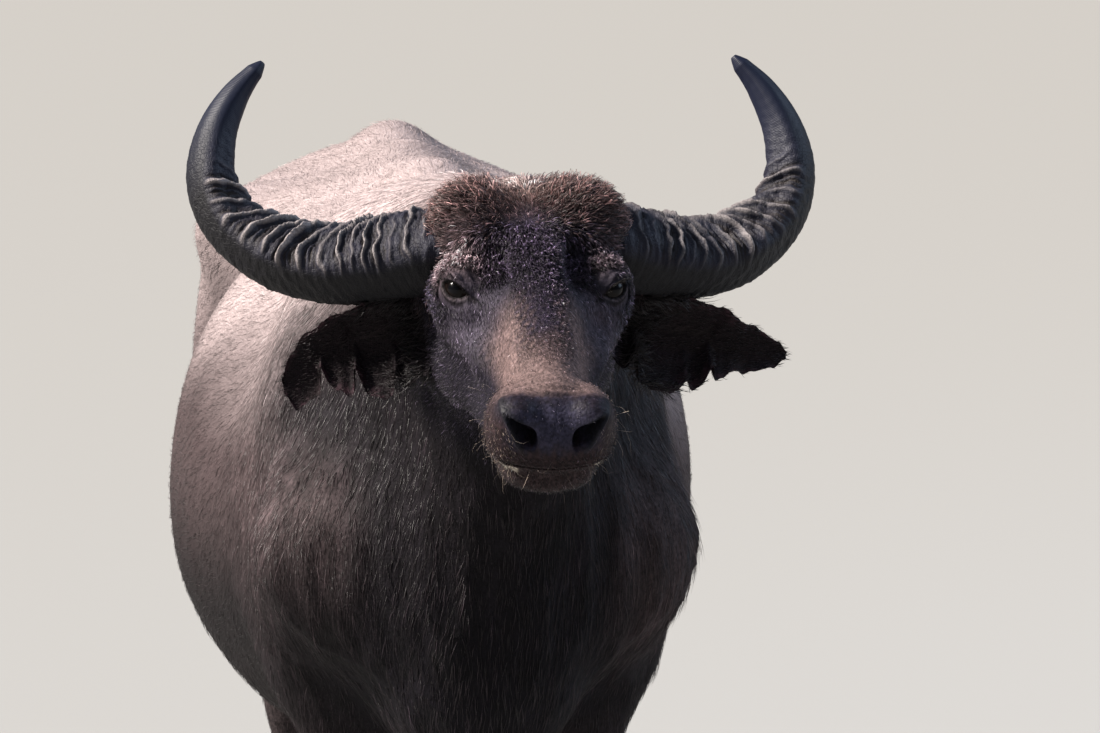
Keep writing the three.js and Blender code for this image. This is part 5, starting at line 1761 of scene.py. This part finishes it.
hornLook = hornKeratin()
eyeLook = wetEye()
hoofLook = hoofKeratin()
for sideName, way in (("left", 1), ("right", -1)):
    hornPiece(sideName, way, hornLook)
    eyePiece(sideName, way, eyeLook)
for legName, leg in legs.items():
    side = stance[legName]["side"]
    for place, way in (("inner", -side), ("outer", side)):
        clawPiece(f"{legName}_claw_{place}", leg["foot"], way, hoofLook)
        dewclawPiece(f"{legName}_dewclaw_{place}", leg["fetlock"], way, hoofLook)
print("horns, eyes and hooves made")

# The photograph's camera: distance in metres from the middle between the eyes, its place round the head and its
# own heading and pitch in degrees, and its focal length in pixels of the photograph's width
camera = {
    "distance": 9.0,
    "azimuth": -6.5,
    "elevation": 8.0,
    "heading": 6.623,
    "pitch": 8.591,
    "focalPixels": 7515,
    "imageWidth": 1100,
    "sensor": 36.0,
}


# Stands on a sphere round the eyes by azimuth and elevation, and is turned by pitch, then by heading
def addCamera():
    a, e = np.radians(camera["azimuth"]), np.radians(camera["elevation"])
    back = np.array((np.sin(a) * np.cos(e), -np.cos(a) * np.cos(e), np.sin(e)))
    data = bpy.data.cameras.new("photoCamera")
    data.sensor_width = camera["sensor"]
    data.lens = camera["focalPixels"] / camera["imageWidth"] * camera["sensor"]
    data.clip_end = 200
    eye = bpy.data.objects.new("photoCamera", data)
    bpy.context.scene.collection.objects.link(eye)
    eye.location = toMetres(body["eyesPlace"]) + back * camera["distance"]
    eye.rotation_euler = (np.radians(90 - camera["pitch"]), 0, -np.radians(camera["heading"]))
    bpy.context.scene.camera = eye


studio = {
    "floorLow": (-60, -60),
    "floorHigh": (60, 80),
    "floorColor": (0.27, 0.27, 0.265, 1),
    "worldColor": (0.72, 0.83, 1, 1),
    "worldStrength": 0.14,
    "lights": {
        "key": {
            "kind": "SUN",
            "power": 11.5,
            "place": (-7.0, 0.5, 6.0),
            "aim": (0, 0, 0),
            "color": (1, 0.93, 0.86),
            "angle": np.radians(9),
        },
        "sky": {
            "kind": "AREA",
            "power": 90,
            "place": (-1.2, -3.6, 6.8),
            "aim": (0, -0.7, 1.2),
            "color": (0.74, 0.85, 1),
            "size": 3.4,
        },
        "fill": {
            "kind": "AREA",
            "power": 300,
            "place": (6.5, 0.8, 4.8),
            "aim": (0, 0, 1.0),
            "color": (0.62, 0.77, 1),
            "size": 4.5,
        },
    },
}


# A lamp at a place in metres whose ray points at its aim. Spread is a sun's angle or a soft light's size.
def addLight(name, kind, power, place, aim, color, **spread):
    data = bpy.data.lights.new(name, kind)
    data.energy = power
    data.color = color
    for key, value in spread.items():
        setattr(data, key, value)
    lamp = bpy.data.objects.new(name, data)
    bpy.context.scene.collection.objects.link(lamp)
    lamp.location = place
    ray = bpy.context.scene.camera.location.copy()
    ray[:] = np.array(aim, float) - np.array(place, float)
    lamp.rotation_euler = ray.to_track_quat("-Z", "Y").to_euler()


# Floor: smooth plaster painted pale grey, matt, so the light falls off softly on it. Paint has an IOR near 1.5.
# A warm sun from the animal's right, 40 degrees high, is the key, and a cool sky and fill soften its shadows.
def addStudio():
    (left, front), (right, back) = studio["floorLow"], studio["floorHigh"]
    corners = np.array(((left, front, 0), (right, front, 0), (right, back, 0), (left, back, 0)), float)
    floor = bpy.data.objects.new("floor", newMesh("floor", corners, np.array([[0, 1, 2, 3]])))
    bpy.context.scene.collection.objects.link(floor)
    paleFloor, _, shader = newLook("paleFloor", 0.1, Roughness=0.9)
    shader.inputs["Base Color"].default_value = studio["floorColor"]
    floor.data.materials.append(paleFloor)
    world = bpy.data.worlds.new("studio")
    world.use_nodes = True
    background = world.node_tree.nodes["Background"]
    background.inputs["Color"].default_value = studio["worldColor"]
    background.inputs["Strength"].default_value = studio["worldStrength"]
    bpy.context.scene.world = world
    for name, light in studio["lights"].items():
        addLight(name, **light)


addCamera()
addStudio()
bpy.context.scene.view_settings.view_transform = "Standard"
print("camera and studio made")
